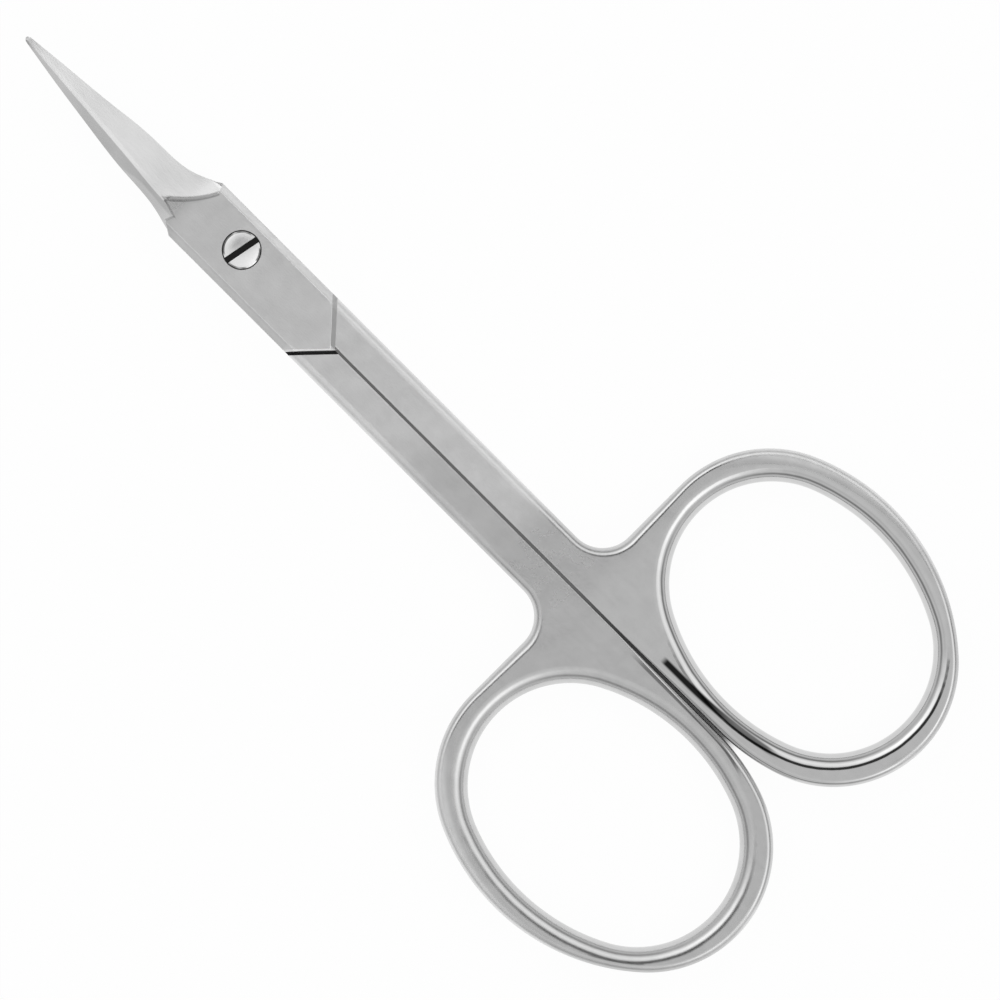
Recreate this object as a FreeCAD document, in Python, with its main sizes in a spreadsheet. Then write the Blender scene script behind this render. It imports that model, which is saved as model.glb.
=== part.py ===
# Cuticle scissors, 90 mm long, lying closed with the rear half's plate on the table.
#
# The tool is two one-piece forged halves that cross at a flat lap joint, and one slotted screw.
# Each half is a finger bow, a web, a slim shank, a thinned plate at the joint and a ground blade.
# The front half's plate is the upper one. The screw's thread sits in the rear half's plate, and
# the front half turns on the screw's shank.
#
# Frame: the origin is on the screw's axis, in the plane that the closed scissors rest on.
# +X runs to the blade tips, +Z is up, and the blades curve up towards +Z.
# A "side" is a distance from the parting line between the two shanks, counted towards a half's
# own bow. A "height" is a distance from the mating plane, counted towards a half's own plate.

import FreeCAD, Part
import math
import os
import re

import Sketcher

DOC = FreeCAD.newDocument("cuticle_scissors")
SHEET = DOC.addObject("Spreadsheet::Sheet", "sizes")

# Driving dimensions in millimetres and degrees: name, value, what it is.
SIZES = [
    # lap joint
    ("plate_thickness", 1.75, "thickness of each half's plate at the joint"),
    ("ride_gap", 0.06, "running gap between the two plates and blades"),
    ("pivot_offset", 0.31, "parting line to the screw's axis, across the tool"),
    ("step_edge", 7.60, "screw to the plate's step at the shank's outer edge"),
    ("step_middle", 10.30, "screw to the plate's step at the parting line"),
    ("free_edge", 8.06, "screw to the plate's free end at the outer edge"),
    ("free_middle", 10.90, "screw to the plate's free end at the parting line"),
    ("seat_gap", 0.42, "gap along the shank from a plate's free end to the other half"),
    ("bevel_across", 0.62, "width of the bevel along the plate's long edges"),
    ("bevel_down", 0.36, "depth of the bevel along the plate's long edges"),
    ("step_across", 0.34, "width of the slope from the plate down to its own shank"),
    ("free_bevel", 0.10, "break on the plate's free end"),
    # shank
    ("shank_edge", 2.98, "parting line to the shank's outer edge"),
    ("shank_thickness", 3.00, "thickness of the shanks and bows"),
    ("parting_gap", 0.18, "gap between the two shanks when closed"),
    ("ease_start", 42.0, "screw to where the parting edge starts to round off"),
    ("tuck", 1.0, "how far the shank runs on under its own plate"),
    # bow
    ("bow_back", 51.82, "screw to the finger hole's centre, along the shank"),
    ("hole_half_length", 11.64, "half length of the finger hole"),
    ("hole_half_width", 8.87, "half width of the finger hole"),
    ("hole_ease", 0.75, "half width less the radius of the hole's two ends"),
    ("hole_lean", 3.6, "lean of the hole's far end towards the parting line, degrees"),
    ("band_parting", 2.10, "width of the bow's band at the parting line"),
    ("band_outer", 2.30, "width of the bow's band at its outer flank"),
    ("band_end", 2.52, "width of the bow's band at its two ends"),
    ("band_radius", 1.77, "outside's end radius less the hole's"),
    ("flat_run", 2.34, "far end arc's centre to the end of the straight parting face"),
    ("flat_lift", 0.39, "how far the far end arc stays clear of the parting face"),
    ("rim_rise", 1.36, "near end arc's centre over the far one's, from the parting line"),
    ("web_fillet", 2.90, "inside radius from the shank to the web"),
    # hand rounding
    ("shank_round", 0.67, "rounding of the shank's outer edges"),
    ("web_round", 0.80, "rounding of the web's front edge"),
    ("bow_round", 0.60, "rounding of the bow's outer edges"),
    ("hole_round", 1.40, "rounding of the finger hole's edges, nearly half the thickness"),
    ("parting_round", 0.12, "rounding of the shanks' parting edges"),
    # blade
    ("tip_reach", 24.0, "screw to the blade's tip"),
    ("root_reach", 3.80, "screw to where the blade starts inside its plate"),
    ("shoulder_reach", 5.20, "screw to the blade's section at the plate's front"),
    ("neck_reach", 6.90, "screw to where the blade has its own width"),
    ("slope_reach", 4.90, "screw to where the plate's spine side starts to slope in"),
    ("corner_reach", 5.95, "screw to the plate's front corner, at the slope's end"),
    ("corner_side", 2.34, "parting line to that corner"),
    ("notch_reach", 5.65, "screw to the notch between that corner and the tongue"),
    ("notch_side", 1.62, "parting line to that notch"),
    ("tongue_reach", 7.15, "screw to the tip of the plate's front tongue"),
    ("tongue_side", 1.14, "parting line to the tongue's tip, on the spine's side"),
    ("plunge_radius", 9.0, "radius of the grinding wheel's plunge cut into the plate"),
    ("plunge_reach", 4.45, "screw to where the plunge cut meets the plate's bevel"),
    ("plunge_side", 2.08, "parting line to that place"),
    ("plunge_end", 4.75, "screw to where the plate's front meets its long edge"),
    ("root_edge_side", 2.75, "parting line to the cutting edge at the blade's root"),
    ("shoulder_edge_side", 2.66, "parting line to the cutting edge at the shoulder"),
    ("neck_edge_side", 2.03, "parting line to the cutting edge at the neck"),
    ("root_spine_side", 2.86, "parting line to the spine at the blade's root"),
    ("shoulder_spine_side", 2.72, "parting line to the spine at the shoulder"),
    ("neck_spine_side", 2.30, "parting line to the spine at the neck"),
    ("neck_ridge_side", 1.31, "parting line to the ridge at the neck"),
    ("front_bulge", 0.19, "how far the front half's spine bows out between neck and tip"),
    ("rear_bulge", 0.03, "the same on the rear half, which hides under the front one"),
    ("tip_lean", 0.26, "how far both tips lie towards the front bow's side"),
    ("tip_width", 0.42, "width of the blade at its tip"),
    ("tip_round", 0.35, "length over which the tip is rounded off"),
    ("root_ridge", 1.64, "height of the ridge over the riding face at the root"),
    ("neck_ridge", 1.54, "height of the ridge over the riding face at the neck"),
    ("tip_ridge", 0.48, "height of the ridge over the riding face at the tip"),
    ("spine_drop", 0.36, "how far the spine's corner lies under the ridge at the neck"),
    ("tip_drop", 0.14, "how far the spine's corner lies under the ridge at the tip"),
    ("root_land", 0.50, "thickness of the cutting edge at the root"),
    ("edge_land", 0.12, "thickness of the cutting edge along the blade"),
    ("curve_start", 6.0, "screw to where the blades start to curve up"),
    ("curve_radius", 50.0, "radius of the blades' upward curve"),
    # screw
    ("screw_radius", 1.0, "radius of the screw's shank"),
    ("head_radius", 1.50, "radius of the screw's head"),
    ("head_depth", 0.90, "depth of the counterbore for the head"),
    ("head_dome", 0.18, "rise of the head's dome over the plate"),
    ("head_gap", 0.05, "gap round and under the head"),
    ("shank_gap", 0.03, "running gap round the screw in the front half"),
    ("thread_gap", 0.01, "gap round the screw's thread in the rear half"),
    ("slot_width", 0.50, "width of the screw's slot"),
    ("slot_depth", 0.45, "depth of the screw's slot under the dome's top"),
    ("slot_turn", 79.0, "direction of the slot from +X, degrees"),
    # cutters
    ("overrun", 6.0, "how far every cutter runs past what it cuts"),
]

# Sizes that follow from the driving dimensions: name, formula, what it is.
DERIVED = [
    ("mate", "plate_thickness + ride_gap / 2", "height of the mating plane"),
    ("plate_top", "mate + ride_gap / 2 + plate_thickness", "height of the front plate's top"),
    ("half_thickness", "shank_thickness / 2", "mating plane to either face of a shank"),
    ("step_down", "plate_thickness + ride_gap / 2 - shank_thickness / 2",
     "how far a plate stands proud of its shank"),
    ("hole_end_radius", "hole_half_width - hole_ease", "radius of the hole's two ends"),
    ("hole_flank_radius", "((hole_half_length - hole_end_radius)^2 + hole_half_width^2"
     " - hole_end_radius^2) / (2 * hole_ease)", "radius of the hole's flanks"),
    ("hole_side", "parting_gap / 2 + band_parting + hole_half_width",
     "parting line to the finger hole's centre"),
    ("rim_radius", "hole_end_radius + band_radius", "radius of the outside's two ends"),
    ("far_back", "bow_back + hole_half_length + band_end - rim_radius",
     "screw to the far end arc's centre"),
    ("far_side", "parting_gap / 2 + rim_radius + flat_lift",
     "parting line to the far end arc's centre"),
    ("near_back", "bow_back - hole_half_length - band_end + rim_radius",
     "screw to the near end arc's centre"),
    ("near_side", "far_side + rim_rise", "parting line to the near end arc's centre"),
    ("flat_back", "far_back - flat_run", "screw to the end of the straight parting face"),
    ("flat_radius", "(flat_run^2 + 2 * rim_radius * flat_lift + flat_lift^2) / (2 * flat_lift)",
     "radius of the outside next to the parting face"),
    ("rim_span", "sqrt((far_back - near_back)^2 + rim_rise^2)", "between the end arcs' centres"),
    ("rim_bulge", "hole_half_width + band_outer - rim_radius",
     "how far the outer flank bows out past the end arcs"),
    ("flank_sink", "((rim_span / 2)^2 - rim_bulge^2) / (2 * rim_bulge)",
     "from the line through the end arcs' centres back to the outer flank's centre"),
    ("flank_radius", "rim_radius + rim_bulge + flank_sink", "radius of the outer flank"),
    ("flank_back", "(far_back + near_back) / 2 - flank_sink * rim_rise / rim_span",
     "screw to the outer flank's centre"),
    ("flank_side", "(far_side + near_side) / 2"
     " - flank_sink * (far_back - near_back) / rim_span",
     "parting line to the outer flank's centre"),
    ("web_front", "near_back - rim_radius", "screw to the web's front edge"),
    ("head_seat", "plate_top - head_depth", "height of the counterbore's floor"),
    ("sweep_reach", "tip_reach + overrun", "radius that the riding face is cut to"),
]

ALIASES = [name for name, _, _ in SIZES + DERIVED]
WORD = re.compile(r"\b(" + "|".join(ALIASES) + r")\b")

# How far along the blade, from neck to tip, each middle section stands.
SECTION_SHARES = [0.2, 0.4, 0.6, 0.8]
# The part of a wall that its two roundings may take together.
ROUND_SHARE = 0.97
# Numbers closer than this count as the same place.
NEAR = 1e-4


def tied(text):
    """The expression with every size's name pointing into the sheet."""
    return WORD.sub(lambda found: SHEET.Name + "." + found.group(1), text)


def value(text):
    """The number that an expression has now."""
    return float(SHEET.evalExpression(tied(text)))


def fill_sheet():
    """Write the driving and the derived sizes into the sheet, one row each."""
    rows = [(name, str(size), note) for name, size, note in SIZES]
    rows += [(name, "=" + formula, note) for name, formula, note in DERIVED]
    for row, (name, content, note) in enumerate(rows, start=1):
        SHEET.set("A%d" % row, note)
        SHEET.set("B%d" % row, content)
        SHEET.setAlias("B%d" % row, name)
        DOC.recompute()


def add_sketch(body, name, role, offset="0"):
    """An empty sketch on one of the body's origin planes, moved along its normal."""
    sketch = body.newObject("Sketcher::SketchObject", name)
    plane = next(item for item in body.Origin.OriginFeatures if item.Role == role)
    sketch.AttachmentSupport = [(plane, "")]
    sketch.MapMode = "FlatFace"
    sketch.setExpression("AttachmentOffset.Base.z", tied(offset))
    return sketch


def arc_between(start, end, radius, turn):
    """The short arc from start to end, turning left for turn 1 and right for turn -1."""
    chord = end - start
    sag = radius - math.sqrt(max(radius ** 2 - chord.Length ** 2 / 4, 0))
    right = FreeCAD.Vector(chord.y, -chord.x, 0)
    right.normalize()
    return Part.Arc(start, (start + end) * 0.5 + right * (sag * turn), end)


def draw_outline(sketch, points):
    """Draw a closed outline whose corners and arcs are tied to the sheet.

    Each point is (x, y) or (x, y, radius, turn), with x, y and radius as expressions. With a
    radius, the edge that leaves the point is an arc, turning left for 1 and right for -1.
    """
    corners = [FreeCAD.Vector(value(point[0]), value(point[1]), 0) for point in points]
    starts = []
    for index, point in enumerate(points):
        start = corners[index]
        end = corners[(index + 1) % len(points)]
        if len(point) > 2:
            arc = arc_between(start, end, value(point[2]), point[3])
            sketch.addGeometry(arc, False)
            # a sketch keeps every arc counter-clockwise, so a right turn swaps its ends
            starts.append(1 if point[3] > 0 else 2)
        else:
            sketch.addGeometry(Part.LineSegment(start, end), False)
            starts.append(1)
    for index, point in enumerate(points):
        after = (index + 1) % len(points)
        sketch.addConstraint(Sketcher.Constraint(
            "Coincident", index, 3 - starts[index], after, starts[after]))
        tie(sketch, point[0], "DistanceX", -1, 1, index, starts[index])
        tie(sketch, point[1], "DistanceY", -1, 1, index, starts[index])
        if len(point) > 2:
            tie(sketch, point[2], "Radius", index)


def tie(sketch, expression, kind, *places):
    """Add a dimension to a sketch and bind it to an expression."""
    number = sketch.addConstraint(Sketcher.Constraint(kind, *places, value(expression)))
    sketch.setExpression("Constraints[%d]" % number, tied(expression))


def draw_circle(sketch, radius):
    """Draw a circle round the screw's axis, its radius tied to the sheet."""
    centre = FreeCAD.Vector(0, 0, 0)
    sketch.addGeometry(Part.Circle(centre, FreeCAD.Vector(0, 0, 1), value(radius)), False)
    sketch.addConstraint(Sketcher.Constraint("Coincident", 0, 3, -1, 1))
    tie(sketch, radius, "Radius", 0)


def extrude(body, kind, sketch, length, down=False, both_ways=False):
    """Make a pad or a pocket of a sketch, its length tied to the sheet."""
    feature = body.newObject("PartDesign::" + kind, sketch.Name + "_" + kind.lower())
    feature.Profile = sketch
    if both_ways:
        feature.SideType = "Symmetric"
    feature.Reversed = down
    feature.Refine = False
    feature.setExpression("Length", tied(length))
    DOC.recompute()
    return feature


def turn_round_axis(body, kind, sketch):
    """Make a revolution or a groove of a sketch round the screw's axis."""
    feature = body.newObject("PartDesign::" + kind, sketch.Name + "_" + kind.lower())
    feature.Profile = sketch
    feature.ReferenceAxis = (sketch, ["V_Axis"])
    feature.Angle = 360
    DOC.recompute()
    return feature


def bevel(body, feature, edges, across, down):
    """Bevel edges of a plate's outer face: this far across that face and this far down."""
    cut = body.newObject("PartDesign::Chamfer", feature.Name + "_bevel")
    cut.Base = (feature, ["Edge%d" % number for number in edges])
    cut.ChamferType = "Two distances"
    cut.setExpression("Size", tied(across))
    cut.setExpression("Size2", tied(down))
    DOC.recompute()
    return cut


class Half:
    """One half of the scissors. turn is 1 for the front half and -1 for the rear one.

    The rear half is the front one turned over about the parting line, apart from the blades,
    which curve up on both, and the hole for the screw.
    """

    def __init__(self, name, turn):
        self.name = name
        self.turn = turn
        self.on_top = turn > 0

    def across(self, side):
        """The y of a distance from the parting line, as an expression."""
        return "pivot_offset - (%d) * (%s)" % (self.turn, side)

    def level(self, height):
        """The z of a distance from the mating plane, as an expression."""
        return "mate + (%d) * (%s)" % (self.turn, height)

    def behind(self, back, side):
        """A point so far behind the screw and so far from the parting line."""
        return ("-(%s)" % back, self.across(side))

    def ahead(self, reach, side):
        """A point so far ahead of the screw and so far from the parting line."""
        return (reach, self.across(side))

    def arc(self, point, radius, turn):
        """A point that an arc leaves. turn is as seen on the front half from above."""
        return (*point, radius, turn * self.turn)

    def side_of(self, point):
        """The distance of a point of the model from the parting line."""
        return (value("pivot_offset") - point.y) * self.turn

    def hole_outline(self):
        """The finger hole: an oval of four tangent arcs, its far end leaning in."""
        run = "(hole_half_length - hole_end_radius)"
        rise = "(hole_flank_radius - hole_half_width)"
        slant = "sqrt(%s^2 + %s^2)" % (run, rise)
        # an end arc meets a flank arc on the line through their two centres
        along = "(%s + hole_end_radius * %s / %s)" % (run, run, slant)
        beside = "(hole_end_radius * %s / %s)" % (rise, slant)
        points = []
        for ahead, outward, arc in ((1, -1, "end"), (1, 1, "flank"),
                                    (-1, 1, "end"), (-1, -1, "flank")):
            u = "(%d) * %s" % (ahead, along)
            w = "(%d) * %s" % (outward, beside)
            back = "bow_back - ((%s) * cos(hole_lean) - (%s) * sin(hole_lean))" % (u, w)
            side = "hole_side + ((%s) * sin(hole_lean) + (%s) * cos(hole_lean))" % (u, w)
            points.append(self.arc(self.behind(back, side), "hole_%s_radius" % arc, -1))
        return points

    def tangent_point(self, back, side, from_back, from_side, radius):
        """Where the rim's end arc about one centre meets a larger arc about another."""
        share = "rim_radius / (%s - rim_radius)" % radius
        return self.behind("%s + (%s - %s) * %s" % (back, back, from_back, share),
                           "%s + (%s - (%s)) * %s" % (side, side, from_side, share))

    def handle_outline(self):
        """The outside of bow, web and shank, one smooth line of straights and tangent arcs."""
        flat_end = self.tangent_point("far_back", "far_side", "flat_back",
                                      "parting_gap / 2 + flat_radius", "flat_radius")
        far_end = self.tangent_point("far_back", "far_side", "flank_back", "flank_side",
                                     "flank_radius")
        near_end = self.tangent_point("near_back", "near_side", "flank_back", "flank_side",
                                      "flank_radius")
        return [
            self.arc(self.behind("flat_back", "parting_gap / 2"), "flat_radius", 1),
            self.arc(flat_end, "rim_radius", 1),
            self.arc(far_end, "flank_radius", 1),
            self.arc(near_end, "rim_radius", 1),
            self.behind("web_front", "near_side"),
            self.arc(self.behind("web_front", "shank_edge + web_fillet"), "web_fillet", -1),
            self.behind("web_front - web_fillet", "shank_edge"),
            self.behind("step_edge - tuck", "shank_edge"),
            self.behind("step_middle - tuck", "parting_gap / 2"),
            self.behind("ease_start", "parting_gap / 2"),
        ]

    def build_handle(self):
        """The bow, web and shank with the seat for the other plate, edges still sharp."""
        body = DOC.addObject("PartDesign::Body", self.name + "_handle")

        outside = add_sketch(body, self.name + "_outside", "XY_Plane", "mate")
        draw_outline(outside, self.handle_outline())
        extrude(body, "Pad", outside, "shank_thickness", both_ways=True)

        hole = add_sketch(body, self.name + "_hole", "XY_Plane", "mate")
        draw_outline(hole, self.hole_outline())
        extrude(body, "Pocket", hole, "shank_thickness + overrun", both_ways=True)

        seat = add_sketch(body, self.name + "_seat", "XY_Plane", self.level("ride_gap / 2"))
        slope = "(free_middle - free_edge) / shank_edge"
        draw_outline(seat, [
            self.behind("free_middle + seat_gap + overrun * %s" % slope, "-overrun"),
            self.behind("free_edge + seat_gap - overrun * %s" % slope, "shank_edge + overrun"),
            self.ahead("overrun", "shank_edge + overrun"),
            self.ahead("overrun", "-overrun"),
        ])
        extrude(body, "Pocket", seat, "shank_thickness", down=not self.on_top)
        return body

    def face_edges(self, shape):
        """The numbers of the edges that bound the handle's two flat faces, without the ends."""
        found = []
        for number, edge in enumerate(shape.Edges, start=1):
            heights = [abs(vertex.Z - value("mate")) for vertex in edge.Vertexes]
            flat = abs(edge.Vertexes[0].Z - edge.Vertexes[-1].Z) < NEAR
            on_face = all(abs(height - value("half_thickness")) < NEAR for height in heights)
            if flat and on_face and not self.crosses_shank(edge):
                found.append(number)
        return found

    def crosses_shank(self, edge):
        """Whether an edge runs across the shank, at its front end or at the seat."""
        sides = [self.side_of(vertex.Point) for vertex in edge.Vertexes]
        backs = [-vertex.X for vertex in edge.Vertexes]
        wide = max(sides) - min(sides) > value("shank_edge / 2")
        return wide and max(backs) < value("free_middle + seat_gap + tuck")

    def is_hole(self, edge):
        """Whether an edge is one of the finger hole's arcs."""
        radius = getattr(edge.Curve, "Radius", 0)
        return any(abs(radius - value(name)) < NEAR
                   for name in ("hole_end_radius", "hole_flank_radius"))

    def rounding_at(self, point):
        """The hand rounding wanted at a place on the handle's outside."""
        back = -point.x
        side = self.side_of(point)
        if side < value("parting_gap") and back < value("flat_back") + NEAR:
            share = (back - value("ease_start")) / value("flat_back - ease_start")
            grown = value("bow_round - parting_round") * min(max(share, 0), 1)
            return value("parting_round") + grown
        if back < value("web_front - web_fillet") + NEAR:
            return value("shank_round")
        if side < value("shank_edge + web_fillet") + NEAR and back < value("web_front") + NEAR:
            return value("web_round")
        return value("bow_round")

    def round_handle(self, body):
        """Round the handle's long edges, the rounding growing from the shank to the bow."""
        shape = body.Shape
        numbers = self.face_edges(shape)
        hole = [number for number in numbers if self.is_hole(shape.Edges[number - 1])]
        outside = [number for number in numbers if number not in hole]
        wall = min(shape.Edges[one - 1].distToShape(shape.Edges[other - 1])[0]
                   for one in hole for other in outside
                   if abs(shape.Edges[one - 1].Vertexes[0].Z
                          - shape.Edges[other - 1].Vertexes[0].Z) < NEAR)
        fit = min(1, ROUND_SHARE * wall / value("bow_round + hole_round"))
        rounded = DOC.addObject("Part::Fillet", self.name + "_rounded")
        rounded.Base = body
        edges = []
        for number in hole:
            edges.append((number, value("hole_round") * fit, value("hole_round") * fit))
        for number in outside:
            edge = shape.Edges[number - 1]
            first = self.rounding_at(edge.valueAt(edge.FirstParameter))
            last = self.rounding_at(edge.valueAt(edge.LastParameter))
            edges.append((number, first * fit, last * fit))
        rounded.Edges = edges
        DOC.recompute()
        return rounded

    def rise(self, reach):
        """How far the riding face has curved up, so far ahead of the screw."""
        past = "max(%s - curve_start; 0)" % reach
        return "(curve_radius - sqrt(curve_radius^2 - (%s)^2))" % past

    def add_section(self, body, name, reach, edge, ridge, spine, land, height, drop):
        """One five-cornered section of the blade, square to +X.

        edge, ridge and spine are the sides of its corners, land is the cutting edge's
        thickness, height the ridge's height over the riding face, and drop the spine's drop.
        """
        sketch = add_sketch(body, self.name + "_section_" + name, "YZ_Plane", reach)
        under = "-edge_land * 4"
        corners = [(edge, under), (edge, land), (ridge, height),
                   (spine, "%s - (%s)" % (height, drop)), (spine, under)]
        points = []
        for side, over in corners:
            level = "%s + %s" % (self.level("ride_gap / 2 + " + over), self.rise(reach))
            points.append((self.across(side), level))
        draw_outline(sketch, points)
        return sketch

    def blade_sections(self, body):
        """The blade's sections from its root inside the plate to its tip."""
        lean = "(%d) * tip_lean" % self.turn
        bulge = "front_bulge" if self.on_top else "rear_bulge"
        tip_edge = "(%s + tip_width / 2)" % lean
        tip_spine = "(%s - tip_width / 2)" % lean
        tip_ridge = "(%s - tip_width / 4)" % lean
        sections = [
            self.add_section(body, "root", "root_reach", "root_edge_side",
                             "-neck_ridge_side", "-root_spine_side", "root_land",
                             "root_ridge", "spine_drop"),
            self.add_section(body, "shoulder", "shoulder_reach", "shoulder_edge_side",
                             "-neck_ridge_side", "-shoulder_spine_side",
                             "(root_land + edge_land) / 2",
                             "(root_ridge + neck_ridge) / 2", "spine_drop"),
            self.add_section(body, "neck", "neck_reach", "neck_edge_side",
                             "-neck_ridge_side", "-neck_spine_side", "edge_land",
                             "neck_ridge", "spine_drop"),
        ]
        for number, share in enumerate(SECTION_SHARES, start=1):
            def between(start, end):
                return "((%s) * %s + (%s) * %s)" % (start, 1 - share, end, share)
            reach = between("neck_reach", "tip_reach")
            spine = between("-neck_spine_side", tip_spine)
            spine += " - %s * %s" % (bulge, 4 * share * (1 - share))
            sections.append(self.add_section(
                body, "blade%d" % number, reach, between("neck_edge_side", tip_edge),
                between("-neck_ridge_side", tip_ridge), spine, "edge_land",
                between("neck_ridge", "tip_ridge"), between("spine_drop", "tip_drop")))
        sections.append(self.add_section(
            body, "point", "tip_reach - tip_round", tip_edge, tip_ridge, tip_spine,
            "edge_land", "tip_ridge", "tip_drop"))
        sections.append(self.add_section(
            body, "tip", "tip_reach", "%s + tip_width / 8" % lean, "%s - tip_width / 16" % lean,
            "%s - tip_width / 8" % lean, "edge_land", "tip_ridge - tip_drop", "tip_drop / 2"))
        return sections

    def build_blade(self):
        """The plate and the blade, with the riding face that both halves share."""
        body = DOC.addObject("PartDesign::Body", self.name + "_blade")
        self.add_plate(body)

        loft = body.newObject("PartDesign::AdditiveLoft", self.name + "_blank")
        sections = self.blade_sections(body)
        loft.Profile = sections[0]
        loft.Sections = sections[1:]
        DOC.recompute()

        # the riding face is turned round the screw, so the blades touch all through the cut
        ride = add_sketch(body, self.name + "_ride", "XZ_Plane")
        face = self.level("ride_gap / 2")
        far = self.level("-(overrun * 2)")
        draw_outline(ride, [
            ("root_reach / 2", face),
            ("curve_start", face, "curve_radius", 1),
            ("sweep_reach", "%s + %s" % (face, self.rise("sweep_reach"))),
            ("sweep_reach", far),
            ("root_reach / 2", far),
        ])
        turn_round_axis(body, "Groove", ride)

        self.add_bore(body)
        return body

    def add_plate(self, body):
        """The flat plate at the joint, its bevels, and the front left by the plunge cut."""
        plate = add_sketch(body, self.name + "_plate", "XY_Plane", self.level("ride_gap / 2"))
        draw_outline(plate, [
            self.behind("step_edge", "shank_edge"),
            self.behind("step_middle", "0"),
            self.behind("free_middle", "0"),
            self.behind("free_edge", "-shank_edge"),
            self.ahead("slope_reach", "-shank_edge"),
            self.ahead("corner_reach", "-corner_side"),
            self.ahead("notch_reach", "-notch_side"),
            self.arc(self.ahead("tongue_reach", "-tongue_side"), "plunge_radius", 1),
            self.ahead("plunge_reach", "plunge_side"),
            self.ahead("plunge_end", "shank_edge"),
        ])
        pad = extrude(body, "Pad", plate, "plate_thickness", down=not self.on_top)
        long_edges = self.top_edges(pad.Shape, lambda back, side: side_is(side, "shank_edge"))
        sides = bevel(body, pad, long_edges, "bevel_across", "bevel_down")
        step = self.top_edges(sides.Shape, lambda back, side: on_line(
            back, side, "step_edge", "shank_edge", "step_middle", "0"))
        slope = bevel(body, sides, step, "step_across", "step_down")
        free = self.top_edges(slope.Shape, lambda back, side: on_line(
            back, side, "free_edge", "-shank_edge", "free_middle", "0"))
        bevel(body, slope, free, "free_bevel", "free_bevel")

    def top_edges(self, shape, belongs):
        """The numbers of the edges of the plate's outer face whose two ends belong."""
        top = value(self.level("ride_gap / 2 + plate_thickness"))
        found = []
        for number, edge in enumerate(shape.Edges, start=1):
            points = [vertex.Point for vertex in edge.Vertexes]
            if all(abs(point.z - top) < NEAR and belongs(-point.x, self.side_of(point))
                   for point in points):
                found.append(number)
        return found

    def add_bore(self, body):
        """The hole for the screw, and on the front half the counterbore for its head."""
        gap = "shank_gap" if self.on_top else "thread_gap"
        bore = add_sketch(body, self.name + "_bore", "XY_Plane", self.level("0"))
        draw_circle(bore, "screw_radius + " + gap)
        extrude(body, "Pocket", bore, "plate_thickness * 2 + overrun", both_ways=True)
        if self.on_top:
            sink = add_sketch(body, self.name + "_counterbore", "XY_Plane", "plate_top")
            draw_circle(sink, "head_radius + head_gap")
            extrude(body, "Pocket", sink, "head_depth")

    def build(self):
        """The finished half as one solid."""
        handle = self.round_handle(self.build_handle())
        blade = self.build_blade()
        half = DOC.addObject("Part::Fuse", self.name)
        half.Base = handle
        half.Tool = blade
        half.Refine = True
        DOC.recompute()
        return half


def side_is(side, size):
    """Whether a side lies this far from the parting line, to either hand."""
    return abs(abs(side) - value(size)) < NEAR


def on_line(back, side, back_a, side_a, back_b, side_b):
    """Whether a place lies on the line through two places given in sizes."""
    run = value(back_b) - value(back_a)
    rise = value(side_b) - value(side_a)
    return abs((back - value(back_a)) * rise - (side - value(side_a)) * run) < NEAR * 10


def build_screw():
    """The slotted screw, its end flush with the rear plate's back."""
    screw = DOC.addObject("PartDesign::Body", "pivot_screw")
    profile = add_sketch(screw, "pivot_screw_profile", "XZ_Plane")
    draw_outline(profile, [
        ("0", "0"),
        ("screw_radius", "0"),
        ("screw_radius", "head_seat + head_gap"),
        ("head_radius", "head_seat + head_gap"),
        ("head_radius", "plate_top", "(head_radius^2 + head_dome^2) / (2 * head_dome)", 1),
        ("0", "plate_top + head_dome"),
    ])
    turn_round_axis(screw, "Revolution", profile)

    slot = add_sketch(screw, "pivot_screw_slot", "XY_Plane", "plate_top + head_dome - slot_depth")
    reach = "(head_radius + overrun)"
    corners = []
    for along, beside in ((-1, -1), (1, -1), (1, 1), (-1, 1)):
        run = "(%d) * %s" % (along, reach)
        out = "(%d) * slot_width / 2" % beside
        corners.append(("(%s) * cos(slot_turn) - (%s) * sin(slot_turn)" % (run, out),
                        "(%s) * sin(slot_turn) + (%s) * cos(slot_turn)" % (run, out)))
    draw_outline(slot, corners)
    extrude(screw, "Pocket", slot, "slot_depth + overrun", down=True)
    return screw


def main():
    """Build the three pieces, check them, and write one STEP file each."""
    fill_sheet()
    pieces = {
        "front_half": Half("front_half", 1).build(),
        "rear_half": Half("rear_half", -1).build(),
        "pivot_screw": build_screw(),
    }
    for item in DOC.Objects:
        if "Invalid" in item.State or "Error" in item.State:
            raise RuntimeError("%s failed: %s" % (item.Name, item.State))
    for name, piece in pieces.items():
        piece.Label = name
        shape = piece.Shape
        if shape.isNull() or not shape.isValid() or len(shape.Solids) != 1:
            raise RuntimeError("%s is not one valid solid" % name)
    os.makedirs("parts", exist_ok=True)
    for name, piece in pieces.items():
        piece.Shape.exportStep("parts/%s.step" % name)
        box = piece.Shape.optimalBoundingBox()
        print("%s: %.1f mm3, x %.2f to %.2f, y %.2f to %.2f, z %.2f to %.2f" % (
            name, piece.Shape.Volume, box.XMin, box.XMax, box.YMin, box.YMax,
            box.ZMin, box.ZMax))


main()
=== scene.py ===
"""Cuticle scissors: the looks of two forged steel halves and the slotted screw that joins them.

Every surface is worked out in millimetres in a half's own frame and then placed. A half's own
frame is (x, side, height): x runs to the tips, side is the distance from the parting line
towards the half's own bow, and height is the distance from the mating plane towards the half's
own plate. The rear half is the front one turned over about the parting line, apart from the
blades, which curve up on both.
"""

from __future__ import annotations

import logging
import math
from collections.abc import Sequence
from dataclasses import dataclass
from enum import Enum
from typing import Any

import bmesh
import bpy
import numpy as np
from mathutils import Matrix, Vector

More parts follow.
